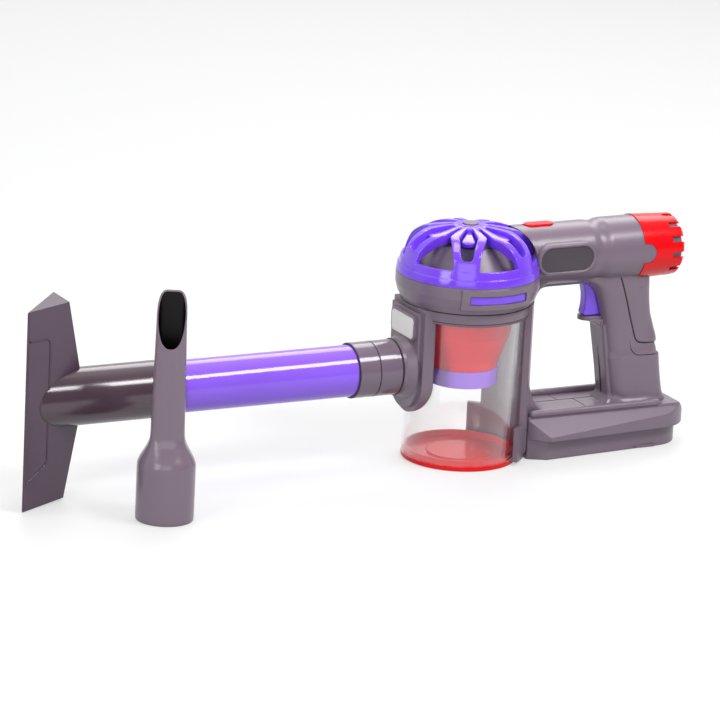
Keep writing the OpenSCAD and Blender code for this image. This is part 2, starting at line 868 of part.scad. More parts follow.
// catches slide in toward the seam through the slots of the head band
catch_x0 = -catch_fwd - catch_w / 2;
catch_x1 = -catch_fwd + catch_w / 2;
panel_z1 = head_z1 - over;
catch_z0 = panel_z1 - panel_h / 2 - catch_h / 2;
catch_z1 = catch_z0 + catch_h;
catch_far_x = max(abs(catch_x0), abs(catch_x1)) + catch_flange_w;
band_in_share = (catch_z0 - catch_flange_w - ledge_z - ledge_t) / (band_z - ledge_z - ledge_t);
band_in_r = collar_r + collar_step - wall + (head_r - collar_r - collar_step) * min(1, band_in_share);
catch_flange_y = sqrt(pow(band_in_r, 2) - pow(catch_far_x, 2)) - run_gap;

module catch_bar() {
    intersection() {
        box([catch_x0, -head_r, catch_z0], [catch_x1, -catch_flange_y + seat, catch_z1]);
        cylinder(h = head_z1, r = head_r);
    }
    box([catch_x0 - catch_flange_w, -catch_flange_y, catch_z0 - catch_flange_w],
        [catch_x1 + catch_flange_w, -catch_flange_y + catch_flange_t, catch_z1 + catch_flange_w]);
}

module catch_near() {
    color(purple)
        catch_bar();
}

module catch_far() {
    color(purple)
        mirror([0, 1, 0])
            catch_bar();
}

// bare label plate on its pad over the inlet
label_x = plate_x - label_out;

module label_plate() {
    color(pale)
        translate([0, 0, label_z])
            plate_x_way(label_x - label_t / 2, label_x + label_t / 2)
                rounded(label_w - 2 * label_rim - 2 * seat, label_h - 2 * label_rim - 2 * seat,
                    label_corner_r - label_rim - seat);
}

// bare badge plates on the sides of the barrel
badge_z = barrel_z + badge_up;
badge_y = barrel_r + badge_out;

module badge_plate() {
    translate([badge_x, 0, badge_z])
        plate_y(-badge_y + badge_sink, -badge_y + badge_sink + badge_t)
            stadium(badge_l - 2 * badge_rim - 2 * seat, badge_h - 2 * badge_rim - 2 * seat);
}

module badge_near() {
    color(dark_grey)
        badge_plate();
}

module badge_far() {
    color(dark_grey)
        mirror([0, 1, 0])
            badge_plate();
}

// the red button slides down through the top of the barrel
button_z1 = barrel_z + barrel_r + button_out;
button_sag = bore_r - sqrt(pow(bore_r, 2) - pow(button_w / 2 + button_flange_w, 2));
button_flange_z = barrel_z + bore_r - button_sag - button_flange_t - run_gap;
bridge_z = button_flange_z - button_spring_h;

module top_button() {
    color(red)
        translate([button_x, 0, 0]) {
            translate([0, 0, button_flange_z])
                linear_extrude(button_z1 - button_flange_z)
                    stadium(button_l, button_w);
            translate([0, 0, button_flange_z])
                linear_extrude(button_flange_t)
                    intersection() {
                        stadium(button_l + 2 * button_flange_w, button_w + 2 * button_flange_w);
                        translate([0, -button_w])
                            square([button_l, 2 * button_w]);
                    }
        }
}

module button_spring() {
    color(metal)
        translate([button_x, 0, 0])
            ring(spring_r, spring_r - spring_wall, bridge_z + seat, button_flange_z - seat);
}

// the rear cap is keyed to the drum by two tongues
cap_x0 = drum_x1 + seat;
cap_x1 = cap_x0 + cap_l;

module key(grow) {
    rod_y(key_h + grow, -reach, reach, drum_x1 + key_l - key_h, barrel_z);
    box([drum_x1 - over, -reach, barrel_z - key_h - grow],
        [drum_x1 + key_l - key_h, reach, barrel_z + key_h + grow]);
}

module rear_cap() {
    color(red)
        difference() {
            union() {
                cone_x(cap_r, cap_end_r, cap_x0, cap_x1 - cap_chamfer, barrel_z);
                cone_x(cap_end_r, cap_end_r - cap_chamfer, cap_x1 - cap_chamfer, cap_x1, barrel_z);
            }
            rod_x(cap_end_r - cap_wall, cap_x0 - over, cap_x1 + over, barrel_z);
            key(seat);
            for (i = [0 : cap_slots - 1])
                translate([0, 0, barrel_z])
                    rotate([(i + 1 / 4) * 360 / cap_slots, 0, 0])
                        box([cap_x1 - cap_slot_l, 0, -cap_slot_w / 2],
                            [cap_x1 + over, cap_r + over, cap_slot_w / 2]);
        }
}

module exhaust_core() {
    core_x1 = cap_x1 - core_back;
    core_r = cap_end_r - cap_wall - seat;
    color(body_grey)
        difference() {
            rod_x(core_r, drum_x1 + key_l + seat, core_x1, barrel_z);
            rod_x(core_r - cap_wall, drum_x1, core_x1 - core_t, barrel_z);
            for (i = [0 : cap_slots - 1])
                translate([0, 0, barrel_z])
                    rotate([i * 360 / cap_slots, 0, 0])
                        rod_x(core_hole_r, core_x1 - core_t - over, core_x1 + over, 0, core_hole_at);
        }
}

// motor, mount, shaft and fan lie along the barrel
motor_x1 = motor_x + motor_l;

module motor() {
    color(metal)
        difference() {
            rod_x(motor_r, motor_x, motor_x1, barrel_z);
            rod_x(shaft_r + pin_gap, motor_x - over, motor_x + shaft_in + run_gap, barrel_z);
        }
}

module motor_mount() {
    color(dark_grey)
        difference() {
            union() {
                rod_x(bore_r - seat, motor_x - mount_t - seat, motor_x - seat, barrel_z);
                rod_x(motor_r + mount_wall + seat, motor_x - mount_t, motor_x + mount_sleeve, barrel_z);
            }
            rod_x(motor_r + seat, motor_x - seat, motor_x1, barrel_z);
            rod_x(fan_hub_r / 2, motor_x - mount_t - over, motor_x, barrel_z);
            for (i = [0 : petals - 1])
                translate([0, 0, barrel_z])
                    rotate([i * 360 / petals, 0, 0])
                        rod_x(shaft_r, motor_x - mount_t - over, motor_x + over, 0,
                            (bore_r + motor_r + mount_wall) / 2);
        }
}

fan_x1 = motor_x - mount_t - fan_gap;
fan_x0 = fan_x1 - fan_disc_t - fan_blade_l;

module fan_shaft() {
    color(metal)
        rod_x(shaft_r, fan_x0, motor_x + shaft_in, barrel_z);
}

module fan() {
    color(pale)
        difference() {
            union() {
                rod_x(fan_r, fan_x1 - fan_disc_t, fan_x1, barrel_z);
                rod_x(fan_hub_r, fan_x0, fan_x1, barrel_z);
                for (i = [0 : fan_blades - 1])
                    translate([0, 0, barrel_z])
                        rotate([i * 360 / fan_blades, 0, 0])
                            box([fan_x0, fan_hub_r / 2, -fan_blade_t / 2],
                                [fan_x1 - fan_disc_t / 2, fan_r - fan_disc_t, fan_blade_t / 2]);
            }
            rod_x(shaft_r + seat, fan_x0 - over, fan_x1 + over, barrel_z);
        }
}

// the handle leans, so its pieces are drawn upright and turned together
handle_top = barrel_z - deck_z;
hollow_top = handle_top - cap_r - 2 * handle_wall;
module leaned() {
    translate([handle_x, 0, deck_z])
        rotate([0, -handle_lean, 0])
            children();
}

module handle_bar(grow, z0, z1) {
    translate([0, 0, z0])
        linear_extrude(z1 - z0)
            rounded(handle_d + 2 * grow, handle_w + 2 * grow, handle_edge + grow);
}

grip_z1 = grip_z + grip_h;
module grip_shell(gap) {
    difference() {
        intersection() {
            handle_bar(over, grip_z + gap, grip_z1 - gap);
            box([handle_d / 2 - grip_d + gap, -handle_w, 0], [handle_d, handle_w, handle_top]);
        }
        handle_bar(gap - grip_t, 0, handle_top);
    }
}

module grip_panel() {
    color(body_grey)
        leaned()
            intersection() {
                grip_shell(seat);
                handle_bar(0, 0, handle_top);
            }
}

// the trigger slides back between the keel and its guard
trigger_z1 = barrel_z - barrel_r - keel_drop - run_gap;
trigger_z0 = trigger_z1 - trigger_h;
function handle_front(z) = handle_x - handle_d / 2 / cos(handle_lean) - (z - deck_z) * tan(handle_lean);
trigger_x0 = handle_front(trigger_z0) - trigger_out;
trigger_x1 = handle_front(trigger_z0) + trigger_in;
trigger_back = trigger_x1 + trigger_travel + run_gap;

module trigger() {
    color(purple)
        difference() {
            union() {
                box([trigger_x0, -trigger_w, trigger_z0], [trigger_x1, trigger_w, trigger_z1]);
                box([trigger_x1 - trigger_flange_t, -trigger_w - trigger_flange_w, trigger_z0],
                    [trigger_x1, trigger_w + trigger_flange_w, trigger_z1]);
            }
            translate([trigger_x0 - trigger_h + trigger_hollow, -reach, (trigger_z0 + trigger_z1) / 2])
                rotate([-90, 0, 0])
                    cylinder(h = 2 * reach, r = trigger_h);
        }
}

module trigger_spring() {
    color(metal)
        difference() {
            rod_x(spring_r, trigger_x1 + seat, trigger_x1 + trigger_spring_l, trigger_spring_z);
            rod_x(spring_r - spring_wall, trigger_x1, trigger_x1 + trigger_spring_l + over, trigger_spring_z);
        }
}
trigger_spring_z = trigger_z1 - spring_r - run_gap;
switch_x = trigger_x1 + trigger_travel + run_gap;
switch_z = trigger_z0 + run_gap;

module trigger_switch() {
    color(dark_grey)
        box([switch_x, -switch_w / 2, switch_z], [switch_x + switch_l, switch_w / 2, switch_z + switch_h]);
}

// battery box under the deck
cell_pitch = 2 * cell_r + cell_gap;
box_x0 = cells_x;
box_x1 = cells_x + cell_l + cell_pip_l + 2 * contact_t + 4 * seat;
box_w = cells * cell_pitch / 2;
box_z1 = cover_t + 2 * cell_r + cell_gap;
cell_z = cover_t + cell_r + cell_gap / 2;

module battery_cells() {
    color(red)
        for (i = [0 : cells - 1])
            translate([0, (i - (cells - 1) / 2) * cell_pitch, 0]) {
                rod_x(cell_r, box_x0 + contact_t + 2 * seat, box_x0 + contact_t + 2 * seat + cell_l, cell_z);
                rod_x(cell_pip_r, box_x0 + contact_t + cell_l, box_x1 - contact_t - 2 * seat, cell_z);
            }
}

module battery_contacts() {
    color(metal)
        for (i = [0 : cells - 1], x = [box_x0 + seat, box_x1 - contact_t - seat])
            translate([x, (i - (cells - 1) / 2) * cell_pitch, cell_z])
                translate([0, -cell_r / 2, -cell_r / 2])
                    cube([contact_t, cell_r, cell_r]);
}

cover_x0 = box_x0 - cover_rim;
cover_x1 = box_x1 + cover_rim + 4 * screw_head_r;
cover_screw_x = box_x1 + cover_rim + screw_head_r;

module battery_cover() {
    color(body_grey)
        difference() {
            box([cover_x0, -box_w - cover_rim, 0], [cover_x1, box_w + cover_rim, cover_t - seat]);
            translate([cover_screw_x, 0, -over])
                cylinder(h = cover_t + 2 * over, r = screw_r + seat);
            translate([cover_screw_x, 0, -over])
                cylinder(h = screw_head_t + over, r = screw_head_r + seat);
        }
}

module cover_screw() {
    color(metal) {
        translate([cover_screw_x, 0, seat])
            cylinder(h = screw_head_t - 2 * seat, r = screw_head_r);
        translate([cover_screw_x, 0, seat])
            cylinder(h = cover_screw_l, r = screw_r);
    }
}

// two screws through the handle hold the halves
screw_at = [
    [handle_front(deck_z + sleeve_h / 2) + handle_d / 2, deck_z + sleeve_h / 2, handle_w / 2],
    [handle_front(deck_z + grip_z) + handle_d / 3, deck_z + grip_z, handle_w / 2]
];

module screw_set(grow, bore) {
    for (p = screw_at) {
        rod_y(screw_r + grow, -screw_bite - grow, p[2], p[0], p[1]);
        rod_y(screw_head_r + grow, p[2] - 2 * screw_head_t, p[2] - screw_head_t + bore, p[0], p[1]);
    }
}

module housing_screws() {
    color(metal)
        screw_set(0, 0);
}

// the grey housing before it is split at the seam
module head_outer() {
    rotate_extrude()
        polygon([[0, head_z0], [collar_r - collar_step / 2, head_z0], [collar_r, head_z0 + collar_step],
            [collar_r, head_z0 + collar_h], [collar_r + collar_step, head_z0 + collar_h],
            [(collar_r + collar_step + 2 * head_r) / 3, (head_z0 + collar_h + band_z) / 2],
            [head_r, band_z], [head_r, head_z1], [0, head_z1]]);
}

module head_room() {
    rotate_extrude()
        polygon([[0, -over], [bin_hole_r, -over], [bin_hole_r, ledge_z], [ledge_r, ledge_z],
            [ledge_r, ledge_z + ledge_t], [collar_r + collar_step - wall, ledge_z + ledge_t],
            [head_r - wall, band_z], [head_r - wall, head_z1 + seat], [0, head_z1 + seat]]);
}

module catch_panels() {
    intersection() {
        rotate_extrude()
            polygon([[head_r - wall, panel_z1 - panel_h], [head_r + panel_out - collar_step, panel_z1 - panel_h],
                [head_r + panel_out, panel_z1 - panel_h / 2], [head_r + panel_out, panel_z1],
                [head_r - wall, panel_z1]]);
        box([-panel_fwd - panel_w / 2, -reach, 0], [-panel_fwd + panel_w / 2, reach, head_z1]);
    }
}

module inlet_outer() {
    plate_z = wand_z - plate_drop;
    plate_h = head_z0 + collar_h - plate_z;
    for (s = [[plate_x + plate_chamfer, plate_x + plate_d, 0], [plate_x, plate_x + plate_d, plate_chamfer]]) {
        rod_x(plate_r - s[2], s[0], s[1], plate_z);
        box([s[0], -plate_r + s[2], plate_z], [s[1], plate_r - s[2], plate_z + plate_h - s[2]]);
    }
    rod_x(inlet_r, inlet_x, plate_x + over, wand_z);
    cone_x(inlet_r, inlet_r + inlet_flare, plate_x - inlet_flare_l, plate_x + seat, wand_z);
    translate([0, 0, label_z])
        plate_x_way(label_x, plate_x + over)
            rounded(label_w, label_h, label_corner_r);
}

fillet_steps = 10;
foot_angle = asin((deck_w - rail_w) / (spine_r + deck_fillet_w));

module spine_outer() {
    rotate([0, 0, -spine_angle])
        rotate_extrude(angle = 2 * spine_angle)
            translate([bin_top_r - over, door_t + door_plug_h])
                square([spine_r - bin_top_r + over, head_z0 + collar_h - door_t - door_plug_h]);
    rotate([0, 0, -cradle_angle])
        rotate_extrude(angle = 2 * cradle_angle)
            translate([bin_top_r - over, door_t])
                square([cradle_r - bin_top_r + over, cradle_h - door_t]);
    // flared foot of the spine on the deck, and its fillet to the keel
    rotate([0, 0, -foot_angle])
        rotate_extrude(angle = 2 * foot_angle)
            polygon(concat([[bin_top_r - over, deck_z + deck_fillet_h], [bin_top_r - over, skirt_z],
                [spine_r + deck_fillet_w, skirt_z]],
                [for (i = [0 : fillet_steps]) [spine_r + deck_fillet_w * (1 - sin(90 * i / fillet_steps)),
                    deck_z + deck_fillet_h * (1 - cos(90 * i / fillet_steps))]]));
    difference() {
        box([bin_top_r - over, -keel_w, keel_z - fillet_r], [spine_r + fillet_r, keel_w, keel_z + wall]);
        rod_y(fillet_r, -reach, reach, spine_r + fillet_r, keel_z - fillet_r);
    }
}

keel_z = barrel_z - barrel_r - keel_drop;

// the barrel runs through a soft valley into its drum
valley_steps = 12;
function valley(t) = barrel_r + (drum_r - barrel_r) * t - neck_d * (1 - cos(360 * t)) / 2;

module barrel_form() {
    translate([0, 0, barrel_z])
        rotate([0, 90, 0])
            rotate_extrude()
                polygon(concat([[0, 0], [barrel_r, 0]],
                    [for (i = [0 : valley_steps]) [valley(i / valley_steps),
                        barrel_x1 - neck_w + i / valley_steps * (drum_x0 - barrel_x1 + 2 * neck_w)]],
                    [[drum_r, drum_x1], [0, drum_x1]]));
}

module barrel_outer() {
    difference() {
        union() {
            barrel_form();
            intersection() {
                key(0);
                difference() {
                    rod_x(drum_r, drum_x0, drum_x1 + key_l, barrel_z);
                    rod_x(drum_r - wall, drum_x0 - over, drum_x1 + key_l + over, barrel_z);
                }
            }
            box([0, -keel_w, keel_z], [barrel_x1, keel_w, barrel_z]);
            translate([badge_x, 0, badge_z])
                plate_y(-badge_y, badge_y)
                    stadium(badge_l, badge_h);
        }
        crown_room(run_gap);
    }
}

module handle_outer() {
    difference() {
        leaned() {
            handle_bar(0, -skirt_top_drop, handle_top);
            handle_bar(sleeve_out, -skirt_top_drop, sleeve_h);
            box([-handle_d / 2 - rib_out, -rib_w, 0], [0, rib_w, trigger_z0 - deck_z]);
        }
        rod_x(bore_r, 0, drum_x1, barrel_z);
        rod_x(cap_r + seat, drum_x1, reach, barrel_z);
        box([-reach, -reach, barrel_z], [reach, reach, 2 * barrel_z]);
    }
    // guard under the trigger, round at its tip
    hull() {
        translate([trigger_x0 + trigger_w, 0, trigger_z0 - run_gap - guard_t])
            cylinder(h = guard_t, r = trigger_w);
        box([trigger_x0 + trigger_w, -trigger_w, trigger_z0 - run_gap - guard_t],
            [handle_front(trigger_z0) + handle_wall, trigger_w, trigger_z0 - run_gap]);
    }
}

foot_back_w = skirt_back_w - foot_inset;
base_x0 = bin_top_r - over;
skirt_x1 = base_x1 - skirt_back_w;

module base_plan(inset) {
    polygon([[base_x0, -deck_w], [skirt_x0, -skirt_front_w + inset], [skirt_x1, -skirt_back_w + inset],
        [skirt_x1, skirt_back_w - inset], [skirt_x0, skirt_front_w - inset], [base_x0, deck_w]]);
    translate([skirt_x1, 0])
        circle(r = skirt_back_w - inset);
}

module base_outer() {
    skirt_top = deck_z - skirt_top_drop;
    edge_z = skirt_z + skirt_edge;
    slope = skirt_front_w - deck_w;
    intersection() {
        translate([0, 0, skirt_z])
            linear_extrude(deck_z - skirt_z)
                base_plan(0);
        plate_x_way(base_x0, base_x1)
            polygon([[-skirt_front_w, skirt_z], [skirt_front_w, skirt_z], [skirt_front_w, edge_z],
                [deck_w, skirt_top], [deck_w, deck_z], [-deck_w, deck_z], [-deck_w, skirt_top],
                [-skirt_front_w, edge_z]]);
        plate_y(-skirt_front_w, skirt_front_w)
            polygon([[base_x0, skirt_z], [base_x1, skirt_z], [base_x1, edge_z],
                [base_x1 - slope, deck_z], [base_x0, deck_z]]);
    }
    linear_extrude(skirt_z + over)
        difference() {
            base_plan(foot_inset);
            circle(r = bin_top_r + over);
        }
    for (s = [-1, 1])
        translate([(bin_top_r + rail_x1) / 2, 0, (skirt_top + deck_z + rail_h) / 2])
            plate_y(s * deck_w - (s > 0 ? rail_w : 0), s * deck_w + (s > 0 ? 0 : rail_w))
                stadium(rail_x1 - bin_top_r, deck_z + rail_h - skirt_top);
}

module housing_outer() {
    head_outer();
    catch_panels();
    inlet_outer();
    spine_outer();
    barrel_outer();
    handle_outer();
    base_outer();
}

module housing_cuts() {
    head_room();
    // air from the inlet into the bin
    rod_x(inlet_bore_r, inlet_x - over, -cone_foot_r, wand_z);
    // bore of the barrel, closed against the crown
    difference() {
        rod_x(bore_r, ledge_r, drum_x1 + key_l + over, barrel_z);
        crown_room(wall);
    }
    rod_x(drum_r - wall, drum_x0 + wall, drum_x1 + over, barrel_z);
    // slots for the catches
    box([catch_x0 - run_gap, -reach, catch_z0 - run_gap], [catch_x1 + run_gap, reach, catch_z1 + run_gap]);
    // pocket for the label plate
    translate([0, 0, label_z])
        plate_x_way(label_x - over, label_x + label_t / 2 + seat)
            rounded(label_w - 2 * label_rim, label_h - 2 * label_rim, label_corner_r - label_rim);
    // pockets for the badge plates
    for (s = [-1, 1])
        translate([badge_x, s * (badge_y - badge_sink - badge_t - seat) - (s > 0 ? 0 : reach), badge_z])
            plate_y(0, reach)
                stadium(badge_l - 2 * badge_rim, badge_h - 2 * badge_rim);
    // hole for the red button
    translate([button_x, 0, button_flange_z - button_travel - run_gap])
        linear_extrude(reach)
            stadium(button_l + 2 * run_gap, button_w + 2 * run_gap);
    // hollow of the handle, room for the trigger and the grip panel
    difference() {
        leaned()
            handle_bar(-handle_wall, 0, hollow_top);
        for (p = screw_at)
            rod_y(post_r, -handle_w, handle_w, p[0], p[1]);
    }
    box([trigger_x0 - over, -trigger_w - run_gap, trigger_z0 - run_gap],
        [trigger_back, trigger_w + run_gap, trigger_z1 + run_gap]);
    box([trigger_x1 - trigger_flange_t - run_gap, -trigger_w - trigger_flange_w - run_gap, trigger_z0 - run_gap],
        [trigger_back, trigger_w + trigger_flange_w + run_gap, trigger_z1 + run_gap]);
    rod_x(spring_r + run_gap, trigger_x1, trigger_x1 + trigger_spring_l + seat, trigger_spring_z);
    leaned()
        grip_shell(0);
    screw_set(seat, reach);
    // battery box, cover and its screw
    box([box_x0, -box_w, -over], [box_x1, box_w, box_z1]);
    box([cover_x0 - seat, -box_w - cover_rim - seat, -over], [cover_x1 + seat, box_w + cover_rim + seat, cover_t]);
    translate([cover_screw_x, 0, 0])
        cylinder(h = cover_screw_l + 2 * seat, r = screw_r + seat);
    // room for the door's hinge
    box([0, -door_lug_w / 2 - run_gap, -over],
        [door_pin_x + door_knuckle_r + run_gap, door_lug_w / 2 + run_gap, 2 * door_knuckle_r + run_gap]);
    rod_y(door_pin_r + seat, -door_lug_w / 2 - door_pin_hold - seat, door_lug_w / 2 + door_pin_hold + seat,
        door_pin_x, door_pin_z);
}

// the shelf that carries the trigger's switch
module switch_shelf() {
    intersection() {
        box([switch_x, -reach, switch_z - seat - shelf_t], [switch_x + switch_l, reach, switch_z - seat]);
        leaned()
            handle_bar(-(handle_wall + grip_t) / 2, 0, hollow_top);
    }
}

// the bridge that carries the button's spring
module button_bridge() {
    intersection() {
        box([button_x - spring_r - wall, -reach, bridge_z - bridge_t], [button_x + spring_r + wall, reach, bridge_z]);
        rod_x(bore_r + seat, 0, barrel_x1, barrel_z);
    }
}

module housing(side) {
    color(body_grey)
        intersection() {
            union() {
                difference() {
                    housing_outer();
                    housing_cuts();
                }
                button_bridge();
                switch_shelf();
            }
            half(side);
        }
}

module housing_near() housing(-1);
module housing_far() housing(1);

// the wand plugs into the inlet, and the floor head turns on its tube
wand_x0 = inlet_x - seat;
collar_x = wand_x0 - collar_l;
socket_x = collar_x - socket_l;
tube_x1 = socket_x + tube_in;
tube_x0 = socket_x - tube_l - pipe_in;

module wand_collar() {
    color(dark_grey)
        difference() {
            union() {
                rod_x(cuff_r, collar_x + cuff_groove, wand_x0 - run_gap, wand_z);
                rod_x(cuff_r - cuff_groove, collar_x, wand_x0 - run_gap, wand_z);
                rod_x(inlet_bore_r - pin_gap, wand_x0 - over, wand_x0 + spigot_l, wand_z);
            }
            rod_x(inlet_bore_r - pin_gap - spigot_wall, collar_x - over, wand_x0 + spigot_l + over, wand_z);
        }
}

module wand_socket() {
    color(dark_grey)
        difference() {
            rod_x(cuff_r, socket_x, collar_x - seat, wand_z);
            rod_x(tube_r + seat, socket_x - over, tube_x1 + seat, wand_z);
            rod_x(tube_r - tube_wall, socket_x, collar_x + over, wand_z);
        }
}

module wand_tube() {
    color(purple)
        difference() {
            rod_x(tube_r, tube_x0, tube_x1, wand_z);
            rod_x(tube_r - tube_wall, tube_x0 - over, tube_x1 + over, wand_z);
        }
}

// the floor head is a hollow wedge between its lip, ridge and heel
ridge_x = tube_x0 + pipe_in - pipe_l;
lip = [ridge_x - lip_fwd, -lip_side];
ridge = [ridge_x, -ridge_side];
heel = [ridge_x - heel_fwd, heel_side];
function gap_between(a, b) = norm(b - a);
shoe_sum = gap_between(ridge, heel) + gap_between(lip, heel) + gap_between(lip, ridge);
shoe_mid = (gap_between(ridge, heel) * lip + gap_between(lip, heel) * ridge
    + gap_between(lip, ridge) * heel) / shoe_sum;
shoe_area = abs((ridge[0] - lip[0]) * (heel[1] - lip[1]) - (ridge[1] - lip[1]) * (heel[0] - lip[0])) / 2;
shoe_in_r = 2 * shoe_area / shoe_sum;
function shoe_point(p, grow) = shoe_mid + (p - shoe_mid) * (shoe_in_r + grow) / shoe_in_r;
sole_way = [heel[1] - lip[1], lip[0] - heel[0]] / gap_between(lip, heel);

module shoe_wedge(grow) {
    polygon([shoe_point(lip, grow), shoe_point(ridge, grow), shoe_point(heel, grow)]);
}

module shoe_mouth() {
    a = shoe_point(lip, -shoe_wall);
    b = shoe_point(heel, -shoe_wall);
    out = (shoe_wall + over) * sole_way;
    polygon([a, shoe_point(ridge, -shoe_wall), b, b - out, a - out]);
}

// outline of the floor head from the near side, drawn in by its wall for the hollow
module shoe_side(inset) {
    polygon([[lip[0] - lip_fwd, wand_z - head_half + inset], [lip[0] - inset, wand_z - head_half + inset],
        [ridge_x - ridge_end_fwd - inset, wand_z - ridge_half + inset], [ridge_x + seat - inset, wand_z - pipe_r],
        [ridge_x + seat - inset, wand_z + pipe_r], [ridge_x - ridge_end_fwd - inset, wand_z + ridge_half - inset],
        [lip[0] - inset, wand_z + head_half - inset], [lip[0] - lip_fwd, wand_z + head_half - inset]]);
}

module floor_head() {
    color(dark_grey)
        difference() {
            intersection() {
                translate([0, 0, wand_z - head_half])
                    linear_extrude(2 * head_half)
                        shoe_wedge(0);
                plate_y(-reach, reach)
                    shoe_side(0);
            }
            intersection() {
                translate([0, 0, wand_z - head_half])
                    linear_extrude(2 * head_half)
                        shoe_mouth();
                plate_y(-reach, reach)
                    shoe_side(shoe_wall);
            }
            rod_x(pipe_bore_r, shoe_mid[0], ridge_x + pipe_r, wand_z);
        }
}

module floor_pipe() {
    color(dark_grey)
        difference() {
            rod_x(pipe_r, lip[0], tube_x0 + pipe_in, wand_z);
            rod_x(tube_r + pin_gap, tube_x0 - run_gap, tube_x0 + pipe_in + over, wand_z);
            rod_x(pipe_bore_r, lip[0] - over, tube_x0, wand_z);
            translate([0, 0, wand_z - head_half])
                linear_extrude(2 * head_half)
                    polygon([shoe_point(lip, seat) + [-lip_fwd, 0], shoe_point(lip, seat),
                        shoe_point(ridge, seat), shoe_point(heel, seat), shoe_point(heel, seat) + [0, pipe_r],
                        shoe_point(lip, seat) + [-lip_fwd, 2 * heel_side + pipe_r]]);
        }
}

// the crevice tool stands on its socket
module blade_slice(w, d, z) {
    translate([0, 0, z])
        linear_extrude(crevice_wall / 2)
            rounded(w, d, min(w, d) / 2 - crevice_wall / 4);
}

module crevice_form(inset) {
    shoulder_z = crevice_socket_h + crevice_shoulder_h;
    hull() {
        translate([0, 0, crevice_socket_h])
            cylinder(h = crevice_wall / 2, r = crevice_r - inset, $fn = 48);
        blade_slice(blade_foot_w - 2 * inset, blade_foot_d - 2 * inset, shoulder_z, $fn = 32);
    }
    hull() {
        blade_slice(blade_foot_w - 2 * inset, blade_foot_d - 2 * inset, shoulder_z, $fn = 32);
        blade_slice(blade_tip_w - 2 * inset, blade_tip_d - 2 * inset, crevice_h, $fn = 32);
    }
}

module crevice_tool() {
    color(dark_grey)
        translate([-crevice_x, -crevice_y, 0])
            rotate([0, 0, -crevice_turn])
                difference() {
                    union() {
                        cylinder(h = crevice_socket_h + crevice_wall / 2, r = crevice_r);
                        crevice_form(0);
                    }
                    translate([0, 0, -over])
                        cylinder(h = crevice_bore_h + over, r = tube_r + pin_gap);
                    translate([0, 0, -over])
                        cylinder(h = crevice_socket_h + over + crevice_wall / 4, r = tube_r - tube_wall);
                    crevice_form(crevice_wall);
                    translate([0, -blade_tip_d / 2, crevice_h - mouth_h])
                        rotate([90 - atan(blade_tip_d / mouth_h), 0, 0])
                            translate([-crevice_r, 0, 0])
                                cube([2 * crevice_r, crevice_h, crevice_h]);
                }
}

housing_near();
housing_far();
crown_cover();
crown_boss();
cyclone_cowl();
cyclone_cone();
cone_ring();
filter_screen();
clear_bin();
bin_door();
door_pin();
catch_near();
catch_far();
label_plate();
badge_near();
badge_far();
top_button();
button_spring();
rear_cap();
exhaust_core();
motor();
motor_mount();
fan();
fan_shaft();
grip_panel();
trigger();
trigger_spring();
trigger_switch();
battery_cells();
battery_contacts();
battery_cover();
cover_screw();
housing_screws();
wand_tube();
wand_socket();
wand_collar();
floor_pipe();
floor_head();
crevice_tool();
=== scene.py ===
"""Looks of the toy vacuum cleaner: finishes, moulded details, light and camera.

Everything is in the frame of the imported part: X back along the wand, Y to the far side and
Z up along the axis of the bin, with the floor at zero. Shapes are worked out in millimetres
and turned to metres when their mesh is made.
"""
import json
import math

import bmesh
import bpy
import numpy as np
from mathutils import Matrix, Vector


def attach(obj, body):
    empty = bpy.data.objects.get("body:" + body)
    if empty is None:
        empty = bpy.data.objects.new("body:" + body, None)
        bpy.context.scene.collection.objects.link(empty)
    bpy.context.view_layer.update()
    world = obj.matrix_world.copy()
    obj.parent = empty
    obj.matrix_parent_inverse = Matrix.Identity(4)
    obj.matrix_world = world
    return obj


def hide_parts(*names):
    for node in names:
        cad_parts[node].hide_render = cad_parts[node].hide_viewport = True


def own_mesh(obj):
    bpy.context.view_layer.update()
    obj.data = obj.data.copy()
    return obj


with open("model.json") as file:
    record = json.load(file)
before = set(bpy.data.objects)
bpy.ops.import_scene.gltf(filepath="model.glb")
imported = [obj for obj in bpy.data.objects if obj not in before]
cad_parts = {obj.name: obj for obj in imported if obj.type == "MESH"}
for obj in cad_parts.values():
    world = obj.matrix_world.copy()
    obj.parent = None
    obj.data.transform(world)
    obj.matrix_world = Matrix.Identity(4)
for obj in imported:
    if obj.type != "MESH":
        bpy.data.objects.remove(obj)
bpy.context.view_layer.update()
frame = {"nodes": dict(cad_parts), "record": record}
nodes = frame["nodes"]
scene = bpy.context.scene
MM = 0.001


# finishes

class Wire:
    """A shader socket that takes part in Python sums; each operator adds one Math node."""

    def __init__(self, owner, socket):
        self.owner, self.socket = owner, socket

    def _math(self, kind, a, b):
        return self.owner.add("ShaderNodeMath", {"operation": kind}, {0: a, 1: b})

    def __add__(self, other): return self._math("ADD", self, other)
    def __radd__(self, other): return self._math("ADD", other, self)
    def __sub__(self, other): return self._math("SUBTRACT", self, other)
    def __rsub__(self, other): return self._math("SUBTRACT", other, self)
    def __mul__(self, other): return self._math("MULTIPLY", self, other)
    def __rmul__(self, other): return self._math("MULTIPLY", other, self)
    def __pow__(self, other): return self._math("POWER", self, other)
    def least(self, other): return self._math("MINIMUM", self, other)


